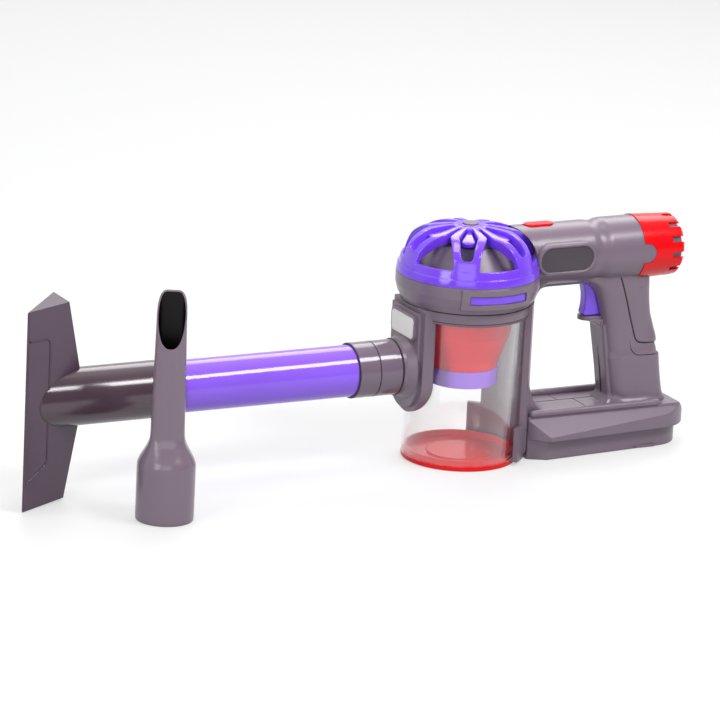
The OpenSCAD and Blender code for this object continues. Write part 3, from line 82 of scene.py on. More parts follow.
class Nodes:
    """A node tree whose nodes are added one by one and joined by Wires."""

    def __init__(self, tree):
        self.tree = tree

    def add(self, kind, settings=None, inputs=None, out=0):
        """Adds a node, sets it, joins or fills its sockets, and returns one of its outputs."""
        node = self.tree.nodes.new(kind)
        for key, value in (settings or {}).items():
            setattr(node, key, value)
        for key, value in (inputs or {}).items():
            self.join(node.inputs[key], value)
        return Wire(self, node.outputs[out])

    def join(self, socket, value):
        """Links a Wire to a socket, or sets the socket to a plain value."""
        if isinstance(value, Wire):
            self.tree.links.new(value.socket, socket)
        else:
            socket.default_value = value

    def seen_by(self, kind):
        """One where a ray of this kind looks, and nought elsewhere."""
        return self.add("ShaderNodeLightPath", out=f"Is {kind} Ray")


class Finish(Nodes):
    """The nodes of one material, which start with a Principled shader as its surface."""

    MIX_SHARE, MIX_A, MIX_B, MIX_COLOUR = 0, 6, 7, 2

    def __init__(self, name, **fixed):
        self.material = bpy.data.materials.new(name)
        self.material.use_nodes = True
        super().__init__(self.material.node_tree)
        self.tree.nodes.clear()
        self.output = self.tree.nodes.new("ShaderNodeOutputMaterial")
        self.shader = self.tree.nodes.new("ShaderNodeBsdfPrincipled")
        self.plain = Wire(self, self.shader.outputs[0])
        self.show(self.plain)
        self.feed(**fixed)

    def show(self, surface):
        self.join(self.output.inputs["Surface"], surface)

    def feed(self, **sockets):
        """Joins or fills sockets of the Principled shader."""
        for name, value in sockets.items():
            self.join(self.shader.inputs[name.replace("_", " ")], value)

    def place(self):
        return self.add("ShaderNodeTexCoord", out="Object")

    def noise(self, scale, detail, rough, at=None):
        return self.add("ShaderNodeTexNoise", {}, {
            "Vector": at or self.place(), "Scale": scale, "Detail": detail, "Roughness": rough})

    def blend(self, share, a, b):
        """Mixes two colours by a share."""
        return self.add("ShaderNodeMix", {"data_type": "RGBA"}, {
            self.MIX_SHARE: share, self.MIX_A: a, self.MIX_B: b}, self.MIX_COLOUR)

    def grain(self, height, deep, edge):
        """A normal that rolls over sharp edges by a radius and carries a fine height."""
        rolled = self.add("ShaderNodeBevel", {"samples": 4}, {"Radius": edge * MM})
        return self.add("ShaderNodeBump", {}, {
            "Height": height, "Distance": deep * MM, "Strength": 0.6, "Normal": rolled})


def linear(r, g, b):
    """A colour as it is written on screen, turned to linear light, with alpha one."""
    def one(v):
        v /= 255.0
        return v / 12.92 if v <= 0.04045 else ((v + 0.055) / 1.055) ** 2.4
    return (one(r), one(g), one(b), 1.0)


CLOUD_SCALE, FLOW_SCALE = 38.0, 9.0


def moulded(name, light, dark, rough, grain, deep, spread, edge=0.7, shine=0.5):
    """Moulded plastic: two close colours in slow clouds, a roughness that wanders by a spread, and
    a fine grain. The grain's size and depth and the radius of the edges are in millimetres."""
    f = Finish(name, Specular_IOR_Level=shine)
    cloud = f.noise(CLOUD_SCALE, 3.0, 0.55)
    flow = f.noise(FLOW_SCALE, 2.0, 0.5)
    fine = f.noise(1.0 / (grain * MM), 2.0, 0.6)
    f.feed(Base_Color=f.blend(cloud * 0.6 + flow * 0.4, linear(*light), linear(*dark)),
           Roughness=(rough - spread / 2) + spread * (0.5 * cloud + 0.5 * fine),
           Normal=f.grain(fine + 0.25 * cloud, deep, edge))
    return f.material


# name, light and dark colour on screen, roughness, size and depth of the grain, spread
GREY = moulded("satin_grey", (126, 110, 125), (119, 103, 118), 0.30, 0.5, 0.010, 0.10, edge=1.1)
CUFF = moulded("gloss_grey", (122, 106, 122), (114, 98, 114), 0.13, 0.9, 0.004, 0.05)
DARK = moulded("plate_grey", (86, 63, 84), (80, 57, 78), 0.20, 0.7, 0.008, 0.08, edge=1.0)
PIPE = moulded("dark_gloss", (82, 64, 75), (76, 58, 69), 0.17, 0.9, 0.004, 0.05, shine=0.7)
NOZZLE = moulded("nozzle_grey", (128, 112, 127), (122, 106, 121), 0.24, 0.7, 0.008, 0.08)
PURPLE = moulded("gloss_purple", (126, 72, 242), (118, 64, 236), 0.13, 0.9, 0.004, 0.05, shine=0.7)
TUBE = moulded("tube_purple", (148, 100, 246), (142, 94, 242), 0.08, 1.2, 0.003, 0.04)
RED = moulded("gloss_red", (240, 14, 24), (230, 6, 16), 0.20, 0.9, 0.005, 0.06, shine=0.25)
# painted light: the cone takes a lighter, pinker red than the other red parts, to make up for the
# light that the inside of the bin lacks
CONE_PAINTED_LIGHT = moulded("cone_red_painted_light", (255, 46, 62), (252, 40, 56), 0.22, 0.9, 0.005, 0.06, shine=0.3)
# painted light: the cone's ring takes a lighter purple than the crown, to make up for the same dim
# light inside the bin
RING_PAINTED_LIGHT = moulded("ring_purple_painted_light", (176, 126, 252), (168, 118, 248), 0.20, 0.9, 0.005, 0.06)
PALE = moulded("bare_plate", (240, 239, 236), (234, 233, 230), 0.34, 0.6, 0.003, 0.08)
INSET = moulded("dark_inset", (74, 66, 74), (66, 58, 66), 0.42, 0.4, 0.012, 0.10)
WHITE = moulded("white_plastic", (228, 226, 220), (220, 218, 212), 0.40, 0.6, 0.006, 0.08)
# painted shade: a near-black finish for the inside of the crevice tool's mouth and its foot, where
# the plastic is the same as outside
HOLLOW_SHADE = moulded("painted_shade_hollow", (12, 7, 10), (9, 5, 8), 0.40, 0.6, 0.006, 0.08, shine=0.2)
# painted shade: near-black beads that stand in for the shadow in grooves and gaps of the housing,
# the wand and the head
SHADE_LINE = moulded("painted_shade_line", (38, 29, 36), (32, 24, 30), 0.45, 0.6, 0.004, 0.08)


def steel():
    """Plain steel: fine lines along Z in the roughness, and slow clouds in the colour."""
    f = Finish("plain_steel", Metallic=1.0)
    across, along = 900.0, 60.0
    stretch = f.add("ShaderNodeMapping", {}, {
        "Vector": f.place(), "Scale": (across, across, along)})
    lines = f.noise(1.0, 2.0, 0.6, stretch)
    cloud = f.noise(60.0, 2.0, 0.5)
    f.feed(Base_Color=f.blend(cloud, linear(190, 190, 192), linear(168, 168, 172)),
           Roughness=0.24 + 0.18 * lines)
    return f.material


def clear_plastic():
    """Clear plastic: light goes straight through but for a white veil, and more is mirrored
    towards the rim."""
    veil, rim = 0.055, 0.40
    f = Finish("clear_plastic", Metallic=1.0)
    haze = f.noise(30.0, 3.0, 0.6)
    facing = f.add("ShaderNodeLayerWeight", {}, {"Blend": 0.5}, "Facing")
    f.feed(Base_Color=f.blend(haze, linear(255, 253, 255), linear(246, 245, 249)),
           Roughness=0.03 + 0.05 * haze)
    through = f.add("ShaderNodeBsdfTransparent", {}, {"Color": (1.0, 1.0, 1.0, 1.0)})
    share = (veil + rim * facing ** 2.0 + 0.02 * haze).least(1.0)
    f.show(f.add("ShaderNodeMixShader", {}, {"Fac": share, 1: through, 2: f.plain}))
    return f.material


STEEL = steel()
CLEAR = clear_plastic()
finish_of_slot = {"body_grey": GREY, "gloss_grey": DARK, "purple": PURPLE, "red": RED,
                  "clear": CLEAR, "pale": PALE, "steel": STEEL, "white": WHITE, "cell": STEEL}
finish_of_node = {"wand_tube": TUBE, "wand_socket": CUFF, "wand_collar": CUFF,
                  "floor_pipe": PIPE, "cyclone_cone": CONE_PAINTED_LIGHT, "cone_ring": RING_PAINTED_LIGHT}
for part in frame["record"]["subparts"]:
    node, slot = part["node"], part["material_slot"]
    mesh = nodes[node].data
    mesh.materials.clear()
    mesh.materials.append(finish_of_node.get(node, finish_of_slot[slot]))


# surfaces

UP, FAR = np.array([0.0, 0.0, 1.0]), np.array([0.0, 1.0, 0.0])
SHARP = math.radians(35.0)
MERGE_M = 2e-7


class Form:
    """Grids of points that are gathered into one mesh of quads."""

    def __init__(self):
        self.points, self.faces, self.inks, self.count = [], [], [], 0

    def add(self, grid, round_rows=False, caps=False, ink=0):
        """Adds a grid of rows by columns, in which each row is a closed loop; round rows join
        the last row to the first, and caps close the two ends."""
        rows, cols = grid.shape[:2]
        at = np.arange(rows * cols).reshape(rows, cols) + self.count
        body = np.vstack([at, at[:1]]) if round_rows else at
        body = np.hstack([body, body[:, :1]])
        quads = np.stack([body[:-1, :-1], body[:-1, 1:], body[1:, 1:], body[1:, :-1]], -1)
        faces = quads.reshape(-1, 4).tolist()
        if caps:
            faces += [at[0, ::-1].tolist(), at[-1].tolist()]
        self.faces += faces
        self.inks += [ink] * len(faces)
        self.points.append(grid.reshape(-1, 3))
        self.count += rows * cols
        return self

    def make(self, name, body, slot, *finishes, stands_for=()):
        """Makes the mesh in metres, merges doubles, turns its faces outwards and hangs it on its
        body."""
        mesh = bpy.data.meshes.new(name)
        mesh.from_pydata((np.concatenate(self.points) * MM).tolist(), [], self.faces)
        mesh.polygons.foreach_set("material_index", np.array(self.inks, dtype=np.int32))
        shape = bmesh.new()
        shape.from_mesh(mesh)
        bmesh.ops.remove_doubles(shape, verts=shape.verts, dist=MERGE_M)
        bmesh.ops.recalc_face_normals(shape, faces=shape.faces)
        shape.to_mesh(mesh)
        shape.free()
        for finish in finishes:
            mesh.materials.append(finish)
        mesh.polygons.foreach_set("use_smooth", np.ones(len(mesh.polygons), dtype=bool))
        mesh.set_sharp_from_angle(angle=SHARP)
        made = bpy.data.objects.new(name, mesh)
        scene.collection.objects.link(made)
        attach(made, body)
        if stands_for:
            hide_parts(*stands_for)
        return made


def ease(t):
    """A smooth step from nought to one."""
    t = np.clip(t, 0.0, 1.0)
    return t * t * (3.0 - 2.0 * t)


def unit(ways):
    """The same directions with a length of one."""
    return ways / np.linalg.norm(ways, axis=-1, keepdims=True)


def full_turn(count):
    """Even angles once round, without the last, which is the first again."""
    return np.linspace(0, 2 * np.pi, count, endpoint=False)


def about_z(angle):
    """The matrix that turns rows of points round the upright axis."""
    c, s = np.cos(angle), np.sin(angle)
    return np.array([[c, s, 0], [-s, c, 0], [0, 0, 1]])


def spline(knots, count):
    """A smooth line through its knots (Catmull-Rom), at even steps of the knots' own count."""
    k = np.asarray(knots, float)
    k = np.vstack([2 * k[0] - k[1], k, 2 * k[-1] - k[-2]])
    t = np.linspace(0, len(knots) - 1, count)
    i = np.minimum(t.astype(int), len(knots) - 2)
    f = (t - i)[:, None]
    a, b, c, d = k[i], k[i + 1], k[i + 2], k[i + 3]
    return 0.5 * (2 * b + (c - a) * f + (2 * a - 5 * b + 4 * c - d) * f ** 2
                  + (3 * b - a - 3 * c + d) * f ** 3)


def walked(line):
    """The distance along a line at each of its points."""
    return np.r_[0, np.cumsum(np.linalg.norm(np.diff(line, axis=0), axis=1))]


def even(line, count):
    """The same line with its points an even distance apart."""
    step = walked(line)
    want = np.linspace(0, step[-1], count)
    return np.stack([np.interp(want, step, line[:, j]) for j in range(line.shape[1])], 1)


def turned(line, count):
    """A closed profile of radius and height, carried round the upright axis."""
    a = full_turn(count)[:, None]
    r, z = line[:, 0][None], line[:, 1][None]
    return np.stack([r * np.cos(a), r * np.sin(a), z + 0 * a], -1)


def soft_box(half, depth, edge, count=5):
    """A closed oblong section with round corners: across from -half to half, and down from 0 to
    depth."""
    half, depth, edge = np.broadcast_arrays(
        *(np.asarray(v, float)[..., None] for v in (half, depth, edge)))
    a = np.linspace(0, np.pi / 2, count)
    cos, sin = np.cos(a), np.sin(a)
    across = np.concatenate([half - edge + edge * sin, half - edge + edge * cos,
                             -half + edge - edge * sin, -half + edge - edge * cos], -1)
    down = np.concatenate([edge - edge * cos, depth - edge + edge * sin,
                           depth - edge + edge * cos, edge - edge * sin], -1)
    return across, down


def bead(line, radius, up, count=10):
    """A round section carried along a line; up is any direction that the line never takes."""
    way = unit(np.gradient(line, axis=0))
    side = unit(np.cross(way, np.broadcast_to(np.asarray(up, float), way.shape)))
    top = np.cross(side, way)
    a = full_turn(count)[None, :, None]
    return line[:, None] + radius * (np.cos(a) * side[:, None] + np.sin(a) * top[:, None])


def seam(name, lines, radius, up):
    """Thin dark lines of painted shade let into the housing, one bead for each line of knots; they
    stand in for the shadow in its grooves.
    """
    f = Form()
    for knots in lines:
        f.add(bead(even(spline(knots, 60 * len(knots)), 90), radius, up), caps=True)
    f.make(name, "body", "body_grey", SHADE_LINE)


# crown

CROWN_Z, CROWN_R, CROWN_H = 130.9, 49.15, 33.0
PETALS = 6
dome_shares = [(1, 0), (0.985, 0.16), (0.955, 0.33), (0.9, 0.54), (0.82, 0.71), (0.69, 0.845),
               (0.54, 0.92), (0.33, 0.975), (0.17, 1.0), (0.05, 1.0)]
dome = even(spline(dome_shares, 400) * (CROWN_R, CROWN_H) + (0, CROWN_Z), 600)
dome_way = unit(np.gradient(dome, axis=0))
dome_out = np.stack([dome_way[:, 1], -dome_way[:, 0]], 1)
dome_step = walked(dome)


def on_dome(way, side, deep):
    """Points on the crown: a way up its meridian, a distance to the side, and a depth under its
    skin."""
    r, z = (np.interp(way, dome_step, dome[:, j]) for j in (0, 1))
    nr, nz = (np.interp(way, dome_step, dome_out[:, j]) for j in (0, 1))
    r = np.maximum(r, np.abs(side) + 0.01)
    out = np.sqrt(r ** 2 - side ** 2)
    return np.stack([out - deep * nr * out / r, side - deep * nr * side / r, z - deep * nz], -1)


def reach(radius):
    """The way up the meridian at which the crown has a radius."""
    return np.interp(-radius, -dome[:, 0], dome_step)


def petal():
    """A foot and two arms, soft oblong sections carried up the dome, whose inner edges run round
    the end of the slot, and a paddle set lower between the arms."""
    rising = 150
    foot = np.interp(CROWN_Z + 5.2, dome[:rising, 1], dome_step[:rising])
    slot, slot_r, corner = reach(44.4), 4.2, 0.8
    knee, top = reach(28.0), reach(9.0)
    marks = [foot, slot, reach(38.0), knee, reach(18.0), top]
    half_petal = [8.7, 9.2, 10.8, 12.5, 8.0, 3.6]
    half_slot = [4.2, 4.2, 4.7, 6.3, 3.6, 0.9]

    way = np.linspace(foot, slot + 0.3, 26)
    wide = np.interp(way, marks, half_petal) - 0.9 * np.exp(-(way - foot) / 0.5)
    across, down = soft_box(wide, 4.5, corner)
    grids = [on_dome(way[:, None], across, down)]

    bend = slot + slot_r
    way = np.r_[np.linspace(slot, bend, 12), np.linspace(bend + 0.8, top, 60)]
    arc = np.sqrt(np.clip(slot_r ** 2 - (bend - np.minimum(way, bend)) ** 2, 0, None))
    gap = np.where(way < bend, arc, np.interp(way, marks, half_slot))
    wide = np.interp(way, marks, half_petal)
    half, mid = (wide - gap) / 2, (wide + gap) / 2
    deep = 3.2 + 4.2 * ease((top - 6 - way) / 14.0) - 2.0 * ease((slot + 6 - way) / 8.0)
    across, down = soft_box(half, deep, np.minimum(corner, half * 0.6))
    grids += [on_dome(way[:, None], sign * (across + mid[:, None]), down) for sign in (-1, 1)]

    tip, nose, sunk = reach(31.5), 3.4, 2.6
    way = np.r_[np.linspace(tip, tip + nose, 10), np.linspace(tip + 4.0, top + 1, 30)]
    wide = np.interp(way, [tip, knee, reach(20.0), top + 1], [4.9, 4.7, 3.2, 1.4])
    short = (tip + nose - np.minimum(way, tip + nose)) / 3.5
    wide = wide * np.sqrt(np.clip(1 - short ** 2, 0.02, 1))
    across, down = soft_box(wide, 3.0, np.minimum(0.9, wide * 0.5))
    return grids + [on_dome(way[:, None], across, down + sunk)]


def crown():
    """Ring and hub turned on the axis, and the petals set round it."""
    ring = spline([(48.95, 130.95), (49.12, 131.6), (48.5, 135.4), (48.2, 136.2), (47.6, 136.7),
                   (47.0, 139.2), (46.3, 141.4), (45.5, 141.9), (44.2, 141.6), (43.4, 140.6),
                   (43.4, 136.0), (44.4, 131.0), (46.6, 130.95), (48.95, 130.95)], 90)[:-1]
    hub = spline([(5.35, 163.3), (5.6, 163.95), (6.4, 164.15), (7.1, 163.8), (9.0, 163.75),
                  (11.2, 163.5), (12.2, 162.6), (11.6, 160.6), (8.0, 159.6), (5.4, 160.2),
                  (5.35, 163.3)], 60)[:-1]
    f = Form().add(turned(ring, 144), round_rows=True).add(turned(hub, 96), round_rows=True)
    grids = petal()
    for angle in full_turn(PETALS):
        for grid in grids:
            f.add(grid @ about_z(angle), caps=True)
    f.make("crown", "body", "purple", PURPLE, stands_for=("crown_cover",))


# barrel and spine

BARREL_Z, BARREL_R = 138.6, 21.3
BADGE_X, BADGE_Y, BADGE_Z = 64.4, 23.55, 139.8
SPINE_R = 46.3
DECK_Z = 30.0


def oblong(long, tall):
    """The outline of an oblong with round ends, and the way out at each of its points."""
    a = np.linspace(-np.pi / 2, np.pi / 2, 40)
    out = np.r_[np.stack([np.cos(a), np.sin(a)], 1), np.stack([-np.cos(a), -np.sin(a)], 1)]
    return out * tall + np.sign(out[:, :1] + 1e-9) * (long - tall, 0.0), out


def on_badge(flat, side, proud):
    """Points of the badge: along and up the side of the barrel, and out from its face."""
    return np.stack([flat[..., 0] + BADGE_X, side * (BADGE_Y + proud + 0 * flat[..., 0]),
                     flat[..., 1] + BADGE_Z], -1)


def badge(name, side):
    """A soft ridge carried round an oblong on the side of the barrel, and the bare plate let into
    it."""
    way, out = oblong(23.0, 11.0)
    section = spline([(0.15, -8.0), (0.2, -2.6), (-0.2, -1.0), (-0.9, -0.15), (-1.7, 0.0),
                      (-2.3, -0.25), (-2.6, -0.8), (-2.7, -1.6), (-2.6, -8.0)], 40)
    flat = way[:, None] + out[:, None] * section[None, :, :1]
    Form().add(on_badge(flat, side, section[None, :, 1]), round_rows=True).make(
        "badge_frame_" + name, "body", "body_grey", GREY)
    edge, out = oblong(20.5, 8.5)
    inset = np.array([0, 0, 0.1, 0.35])[:, None, None]
    deep = np.array([2.6, 0.95, 0.75, 0.7])[:, None]
    Form().add(on_badge(edge[None] - inset * out[None], side, -deep), caps=True).make(
        "badge_plate_" + name, "body", "gloss_grey", INSET, stands_for=("badge_" + name,))


def spine_corner(name, half, level, long, tall, up):
    """A hollow quarter curve from the back of the spine to the face over or under it, smaller at
    its sides."""
    least, border, root = 0.72, 2.0, 1.5
    y = np.r_[-half, 0.05 - half, 0.2 - half, np.linspace(0.5 - half, half - 0.5, 61),
              half - 0.2, half - 0.05, half][:, None]
    near_side = np.maximum(np.abs(y) - half + border, 0) / border
    size = least + (1 - least) * np.sqrt(np.clip(1 - near_side ** 2, 0, 1))
    a = np.linspace(0, np.pi / 2, 28)[None]
    spine, face = np.sqrt(SPINE_R ** 2 - y ** 2), level(y)
    x = spine + long * size * (1 - np.cos(a))
    z = face - up * tall * size * (1 - np.sin(a))
    x = np.concatenate([x, spine + long * size, spine - root, spine - root], 1)
    z = np.concatenate([z, face + up, face + up, face - up * tall * size], 1)
    Form().add(np.stack([x, y + 0 * x, z], -1), caps=True).make(name, "body", "body_grey", GREY)


def under_barrel(y):
    return BARREL_Z - np.sqrt(BARREL_R ** 2 - y ** 2)


def on_deck(y):
    return DECK_Z + 0 * y


# handle

LEAN = math.radians(10.0)
HANDLE = np.array([133.7, 0.0, DECK_Z])
HANDLE_U = np.array([math.cos(LEAN), 0.0, math.sin(LEAN)])
HANDLE_W = np.array([-math.sin(LEAN), 0.0, math.cos(LEAN)])
HANDLE_DEEP, HANDLE_WIDE, BLUNT = 19.35, 14.05, 2.0 / 3.6
SLOT_HALF, SLOT_FROM, SLOT_BACK = 4.85, 61.8, -1.5
back_line = spline([(-6, 0), (14, -0.05), (29, 0.55), (33, 0.2), (38, -0.15), (45, 0.3), (52, 0.3),
                    (60, -0.6), (68, -0.5), (76, 0.2), (88, 1.6), (101, 2.2)], 400)
sweep_line = spline([(88, 0), (93, 0), (97, 0.25), (102, 0.8), (107, 1.7), (110, 2.7), (113, 4.1),
                     (115, 5.4), (117, 7.3), (119.5, 10.0), (122, 13.0), (126, 13.0)], 300)


def in_handle(u, v, w):
    """Points of the leaning handle: back, across and up its own axis."""
    return HANDLE + u[..., None] * HANDLE_U + v[..., None] * FAR + w[..., None] * HANDLE_W


def blunt(c, size):
    """A cosine or sine flattened to a blunt oval's."""
    return np.sign(c) * np.abs(c) ** BLUNT * size


def turn_at(u):
    """The turn round the oval at which its plain section is that far back."""
    return np.arccos(np.sign(u) * np.clip(np.abs(u) / HANDLE_DEEP, 0, 1) ** (1 / BLUNT))


def handle_section(w, turn, grow):
    """A blunt oval: its back follows a line of knots, a step marks the sleeve, its foot runs out on
    the level deck, and its front sweeps forward under the barrel."""
    sleeve_top, step_top, most_side = 35.3, 34.4, 1.22
    cos, sin = np.cos(turn), np.sin(turn)
    flat_u = blunt(cos, HANDLE_DEEP)
    level = w + flat_u * math.tan(LEAN)
    back, front = ease(cos * 2.0), ease(-cos * 2.0)
    foot = (3.6 - 2.2 * back) * np.clip(1 - (level - 1.0) / 6.0, 0, 1) ** 2.4
    below = (1 - ease((w + 0.25 * flat_u - step_top) / 0.9)) * ease((flat_u + 3.5) / 3.0)
    sleeve = 0.82 * (1 - ease((w - sleeve_top) / 6.0)) + (0.4 + 0.8 * back) * below
    sweep = np.interp(HANDLE[2] + math.cos(LEAN) * level, *sweep_line.T)
    u = (blunt(cos, HANDLE_DEEP + grow + foot + sleeve) + np.interp(w, *back_line.T) * back
         - sweep * front)
    v = blunt(sin, HANDLE_WIDE + grow + foot + np.minimum(sleeve, most_side))
    return u, v


def tucked(grid):
    """Points above the underside of the barrel are laid inside its wall."""
    swell_from, cap_from = 98.0, 125.8
    x, y, z = np.moveaxis(grid, -1, 0)
    r = np.where(x > cap_from, 22.3, np.where(x > swell_from, 21.6, 20.9))
    inside = BARREL_Z - np.sqrt(np.maximum(r ** 2 - y ** 2, 0))
    return np.stack([x, y, np.minimum(z, inside)], -1)


STRIP_FRONT, STRIP_FROM, STRIP_LEAN = 21.7, 12, 0.03


def strip_in(w):
    """How far the front strip draws back towards its top."""
    return STRIP_LEAN * np.maximum(w - STRIP_FROM, 0)


def handle():
    """The oval carried up the axis, open for the trigger; the front strip is a soft oblong with a
    seam of painted shade, and a thin line of painted shade marks the edge of the sleeve on each
    side."""
    skin = 0.12
    f = Form()
    w = np.r_[np.linspace(-6.0, 12.0, 40), np.linspace(12.6, 29.0, 20),
              np.linspace(29.2, 37.0, 36), np.linspace(37.6, 61.7, 30),
              SLOT_FROM - 0.05, SLOT_FROM + 0.05, np.linspace(62.4, 101.0, 60)][:, None]
    slot = math.pi - np.arcsin((SLOT_HALF / (HANDLE_WIDE + skin)) ** (1 / BLUNT))
    half = np.sort(np.r_[np.linspace(0, math.pi, 66), slot - 0.0006, slot + 0.0006])
    turn = np.r_[half, -half[-2:0:-1]][None]
    u, v = handle_section(w, turn, skin)
    u = np.where((w > SLOT_FROM) & (np.abs(v) < SLOT_HALF), np.maximum(u, SLOT_BACK), u)
    f.add(tucked(in_handle(u, v, w + 0 * turn)), caps=True)

    strip_half, strip_deep, corner = 9.3, 9.0, 1.6
    w = np.r_[np.linspace(-3.0, 12.0, 28), np.linspace(12.6, 60.5, 46)]
    foot = 4.6 * np.clip(1 - (w - 4.4) / 7.0, 0, 1) ** 2.2
    across, down = soft_box(strip_half + 0.6 * foot, strip_deep + foot, corner, 7)
    dent = 0.6 * np.exp(-(across / 0.7) ** 2) * (down < 1)
    front = STRIP_FRONT + foot - strip_in(w)
    f.add(in_handle(down + dent - front[:, None], across, w[:, None] + 0 * across), caps=True)
    f.make("handle_skin", "body", "body_grey", GREY)

    w = np.linspace(9.0, 60.0, 40)
    seam("strip_seam", [in_handle(strip_in(w) - STRIP_FRONT - 0.05, 0 * w, w)], 0.5, FAR)

    knots = [(19.3, 30.3), (15, 31.1), (9.5, 32.5), (5, 33.6), (2, 34.4), (-0.4, 35.8),
             (-1.9, 37.8), (-2.9, 41.0), (-3.4, 46), (-4.0, 52)]
    u, w = even(spline(knots, 400), 200).T
    u, v = handle_section(w, turn_at(u), 0.06)
    thick = 0.3 - 0.26 * ease((w - 37.0) / 12.0)
    for name, sign in (("near", -1), ("far", 1)):
        line = in_handle(u, sign * v, w)
        Form().add(bead(line, thick[:, None, None], (0.3, sign * 1.0, 0)), caps=True).make(
            "sleeve_seam_" + name, "body", "body_grey", SHADE_LINE)


def grip():
    """The panel let into the back of the handle: the same oval, proud at its heel, sinking at its
    border, which a thin line of painted shade follows."""
    slope, low, sunk, thick = 0.28, 44.0, 0.45, 2.0
    level = low + np.r_[0, 0.05, 0.12, 0.25, 0.45, 0.7, 1.0, 1.4, 2.0, 2.8, 3.8, 5.0, 6.5, 8.0,
                        10.0, np.linspace(11.2, 53.0, 42)][:, None]
    border = spline([(44.0, 6.5), (44.25, 4.6), (44.7, 3.4), (45.6, 2.3), (47.0, 1.4), (49.5, 0.8),
                     (53.0, 0.35), (62.7, -0.9), (74.8, -2.25), (90.1, -4.15), (97.0, -5.0)], 400)
    first = turn_at(np.interp(level, *border.T))

    def spot(level, turn, grow):
        w = level - slope * blunt(np.cos(turn), HANDLE_DEEP)
        return (*handle_section(w, turn, grow), w)

    share = np.linspace(-1, 1, 100)[None]
    turn = share * first
    u, v, w = spot(level, turn, 0.0)
    rim = np.minimum((1 - np.abs(share)) * first * 18.0, level - low)
    proud = 0.15 + 1.4 * np.exp(-((w - 41.0) / 7.0) ** 2) * ease(np.cos(turn) * 2.0)
    lift = (proud + sunk) * ease(rim / 0.9) - sunk
    more_u, more_v, _ = spot(level, turn, 1.0)
    face = tucked(in_handle(u + (more_u - u) * lift, v + (more_v - v) * lift, w))
    back = tucked(in_handle(*spot(level, turn, -thick)))
    Form().add(np.concatenate([face, back[:, ::-1]], 1), caps=True).make(
        "grip_panel_skin", "body", "body_grey", GREY, stands_for=("grip_panel",))

    side = in_handle(*spot(level[:, 0], first[:, 0], 0.1))[-6::-1]
    heel = in_handle(*spot(low, np.linspace(first[0, 0], -first[0, 0], 60), 0.1))
    line = even(np.concatenate([side, heel[1:-1], side[::-1] * (1, -1, 1)]), 280)
    Form().add(bead(line, 0.5, (1.0, 0.013, 0.37)), caps=True).make(
        "grip_seam", "body", "body_grey", SHADE_LINE)


def trigger_blade():
    """A soft oblong section carried up the trigger, whose front is hollow and ends in a round
    toe."""
    toe, top, back = 92.4, 115.9, 112.2
    z = np.r_[toe, 92.5, 92.8, np.linspace(93.3, 115.2, 44), 115.6, top]
    front_line = spline([(toe, 91.8), (93.2, 90.7), (94.6, 90.2), (97.5, 90.8), (102, 91.3),
                         (108, 91.0), (113, 89.9), (top, 89.1)], 200)
    front = np.interp(z, *front_line.T)
    half = 4.2 - 0.7 * np.exp(-(z - toe) / 0.25) - 0.3 * np.exp(-(top - z) / 0.25)
    across, down = soft_box(half, back - front, 1.2, 7)
    grid = np.stack([front[:, None] + down, across, z[:, None] + 0 * across], -1)
    Form().add(grid, caps=True).make(
        "trigger_blade", "trigger", "purple", PURPLE, stands_for=("trigger",))


def guard_fillet():
    """A hollow curve from the underside of the trigger's guard to the front strip of the handle,
    drawn in a little at its two sides."""
    curve = spline([(91.5, 89.9), (95.0, 89.0), (98.5, 87.6), (101.0, 85.8), (102.6, 83.8),
                    (103.6, 81.5)], 24)
    shape = np.concatenate([curve, [(107.5, 81.5), (108.0, 86.0), (107.0, 90.3), (98.0, 90.3),
                                    (92.0, 90.2)]])
    y = np.r_[-7.6, -7.2, np.linspace(-6.2, 6.2, 9), 7.2, 7.6]
    squeeze = 0.06 * np.array([0.9, 0.25] + [0.0] * 9 + [0.25, 0.9])
    mid = np.array([103.0, 87.5])
    flat = shape[None] + (mid - shape)[None] * squeeze[:, None, None]
    grid = np.stack([flat[..., 0], y[:, None] + 0 * flat[..., 0], flat[..., 1]], -1)
    Form().add(grid, caps=True).make("guard_fillet", "body", "body_grey", GREY)


# floor head

def head_rib():
    """A low round bead carried along the near plate of the floor head, in the shape of a square
    U; its knots are distances from the lip and heights."""
    lip, ridge = np.array([-335.6, -26.0, 0.0]), np.array([-286.6, -1.0, 0.0])
    half_wide, half_high = 0.85, 0.75
    way = unit(ridge - lip)
    out = np.array([way[1], -way[0], 0.0])
    knots = [(3.0, 19.0), (12.0, 23.0), (20.5, 27.0), (23.6, 30.0), (24.0, 35.0), (24.0, 70.0),
             (24.0, 92.0), (24.0, 108.0), (22.8, 112.6), (19.5, 114.3), (10.0, 114.8),
             (3.0, 115.3)]
    line = even(spline(knots, 300), 160)
    step = unit(np.gradient(line, axis=0))
    path = lip + line[:, :1] * way + line[:, 1:] * UP
    side = step[:, 1:] * way - step[:, :1] * UP
    a = full_turn(16)[None, :, None]
    grid = path[:, None] + half_wide * np.cos(a) * side[:, None] + half_high * np.sin(a) * out
    Form().add(grid, caps=True).make("head_rib", "floor_head", "gloss_grey", DARK)


def head_lip():
    """A thin round edge along the lip of the floor head."""
    lip_x, lip_y, radius = -334.7, -25.55, 0.85
    z = np.linspace(0.8, 134.8, 40)
    line = np.stack([0 * z + lip_x, 0 * z + lip_y, z], 1)
    Form().add(bead(line, radius, (1.0, 0, 0)), caps=True).make(
        "head_lip", "floor_head", "gloss_grey", DARK)


# crevice tool

CREVICE = np.array([-251.5, -65.5, 0.0])
CREVICE_TURN = math.radians(-27.0)


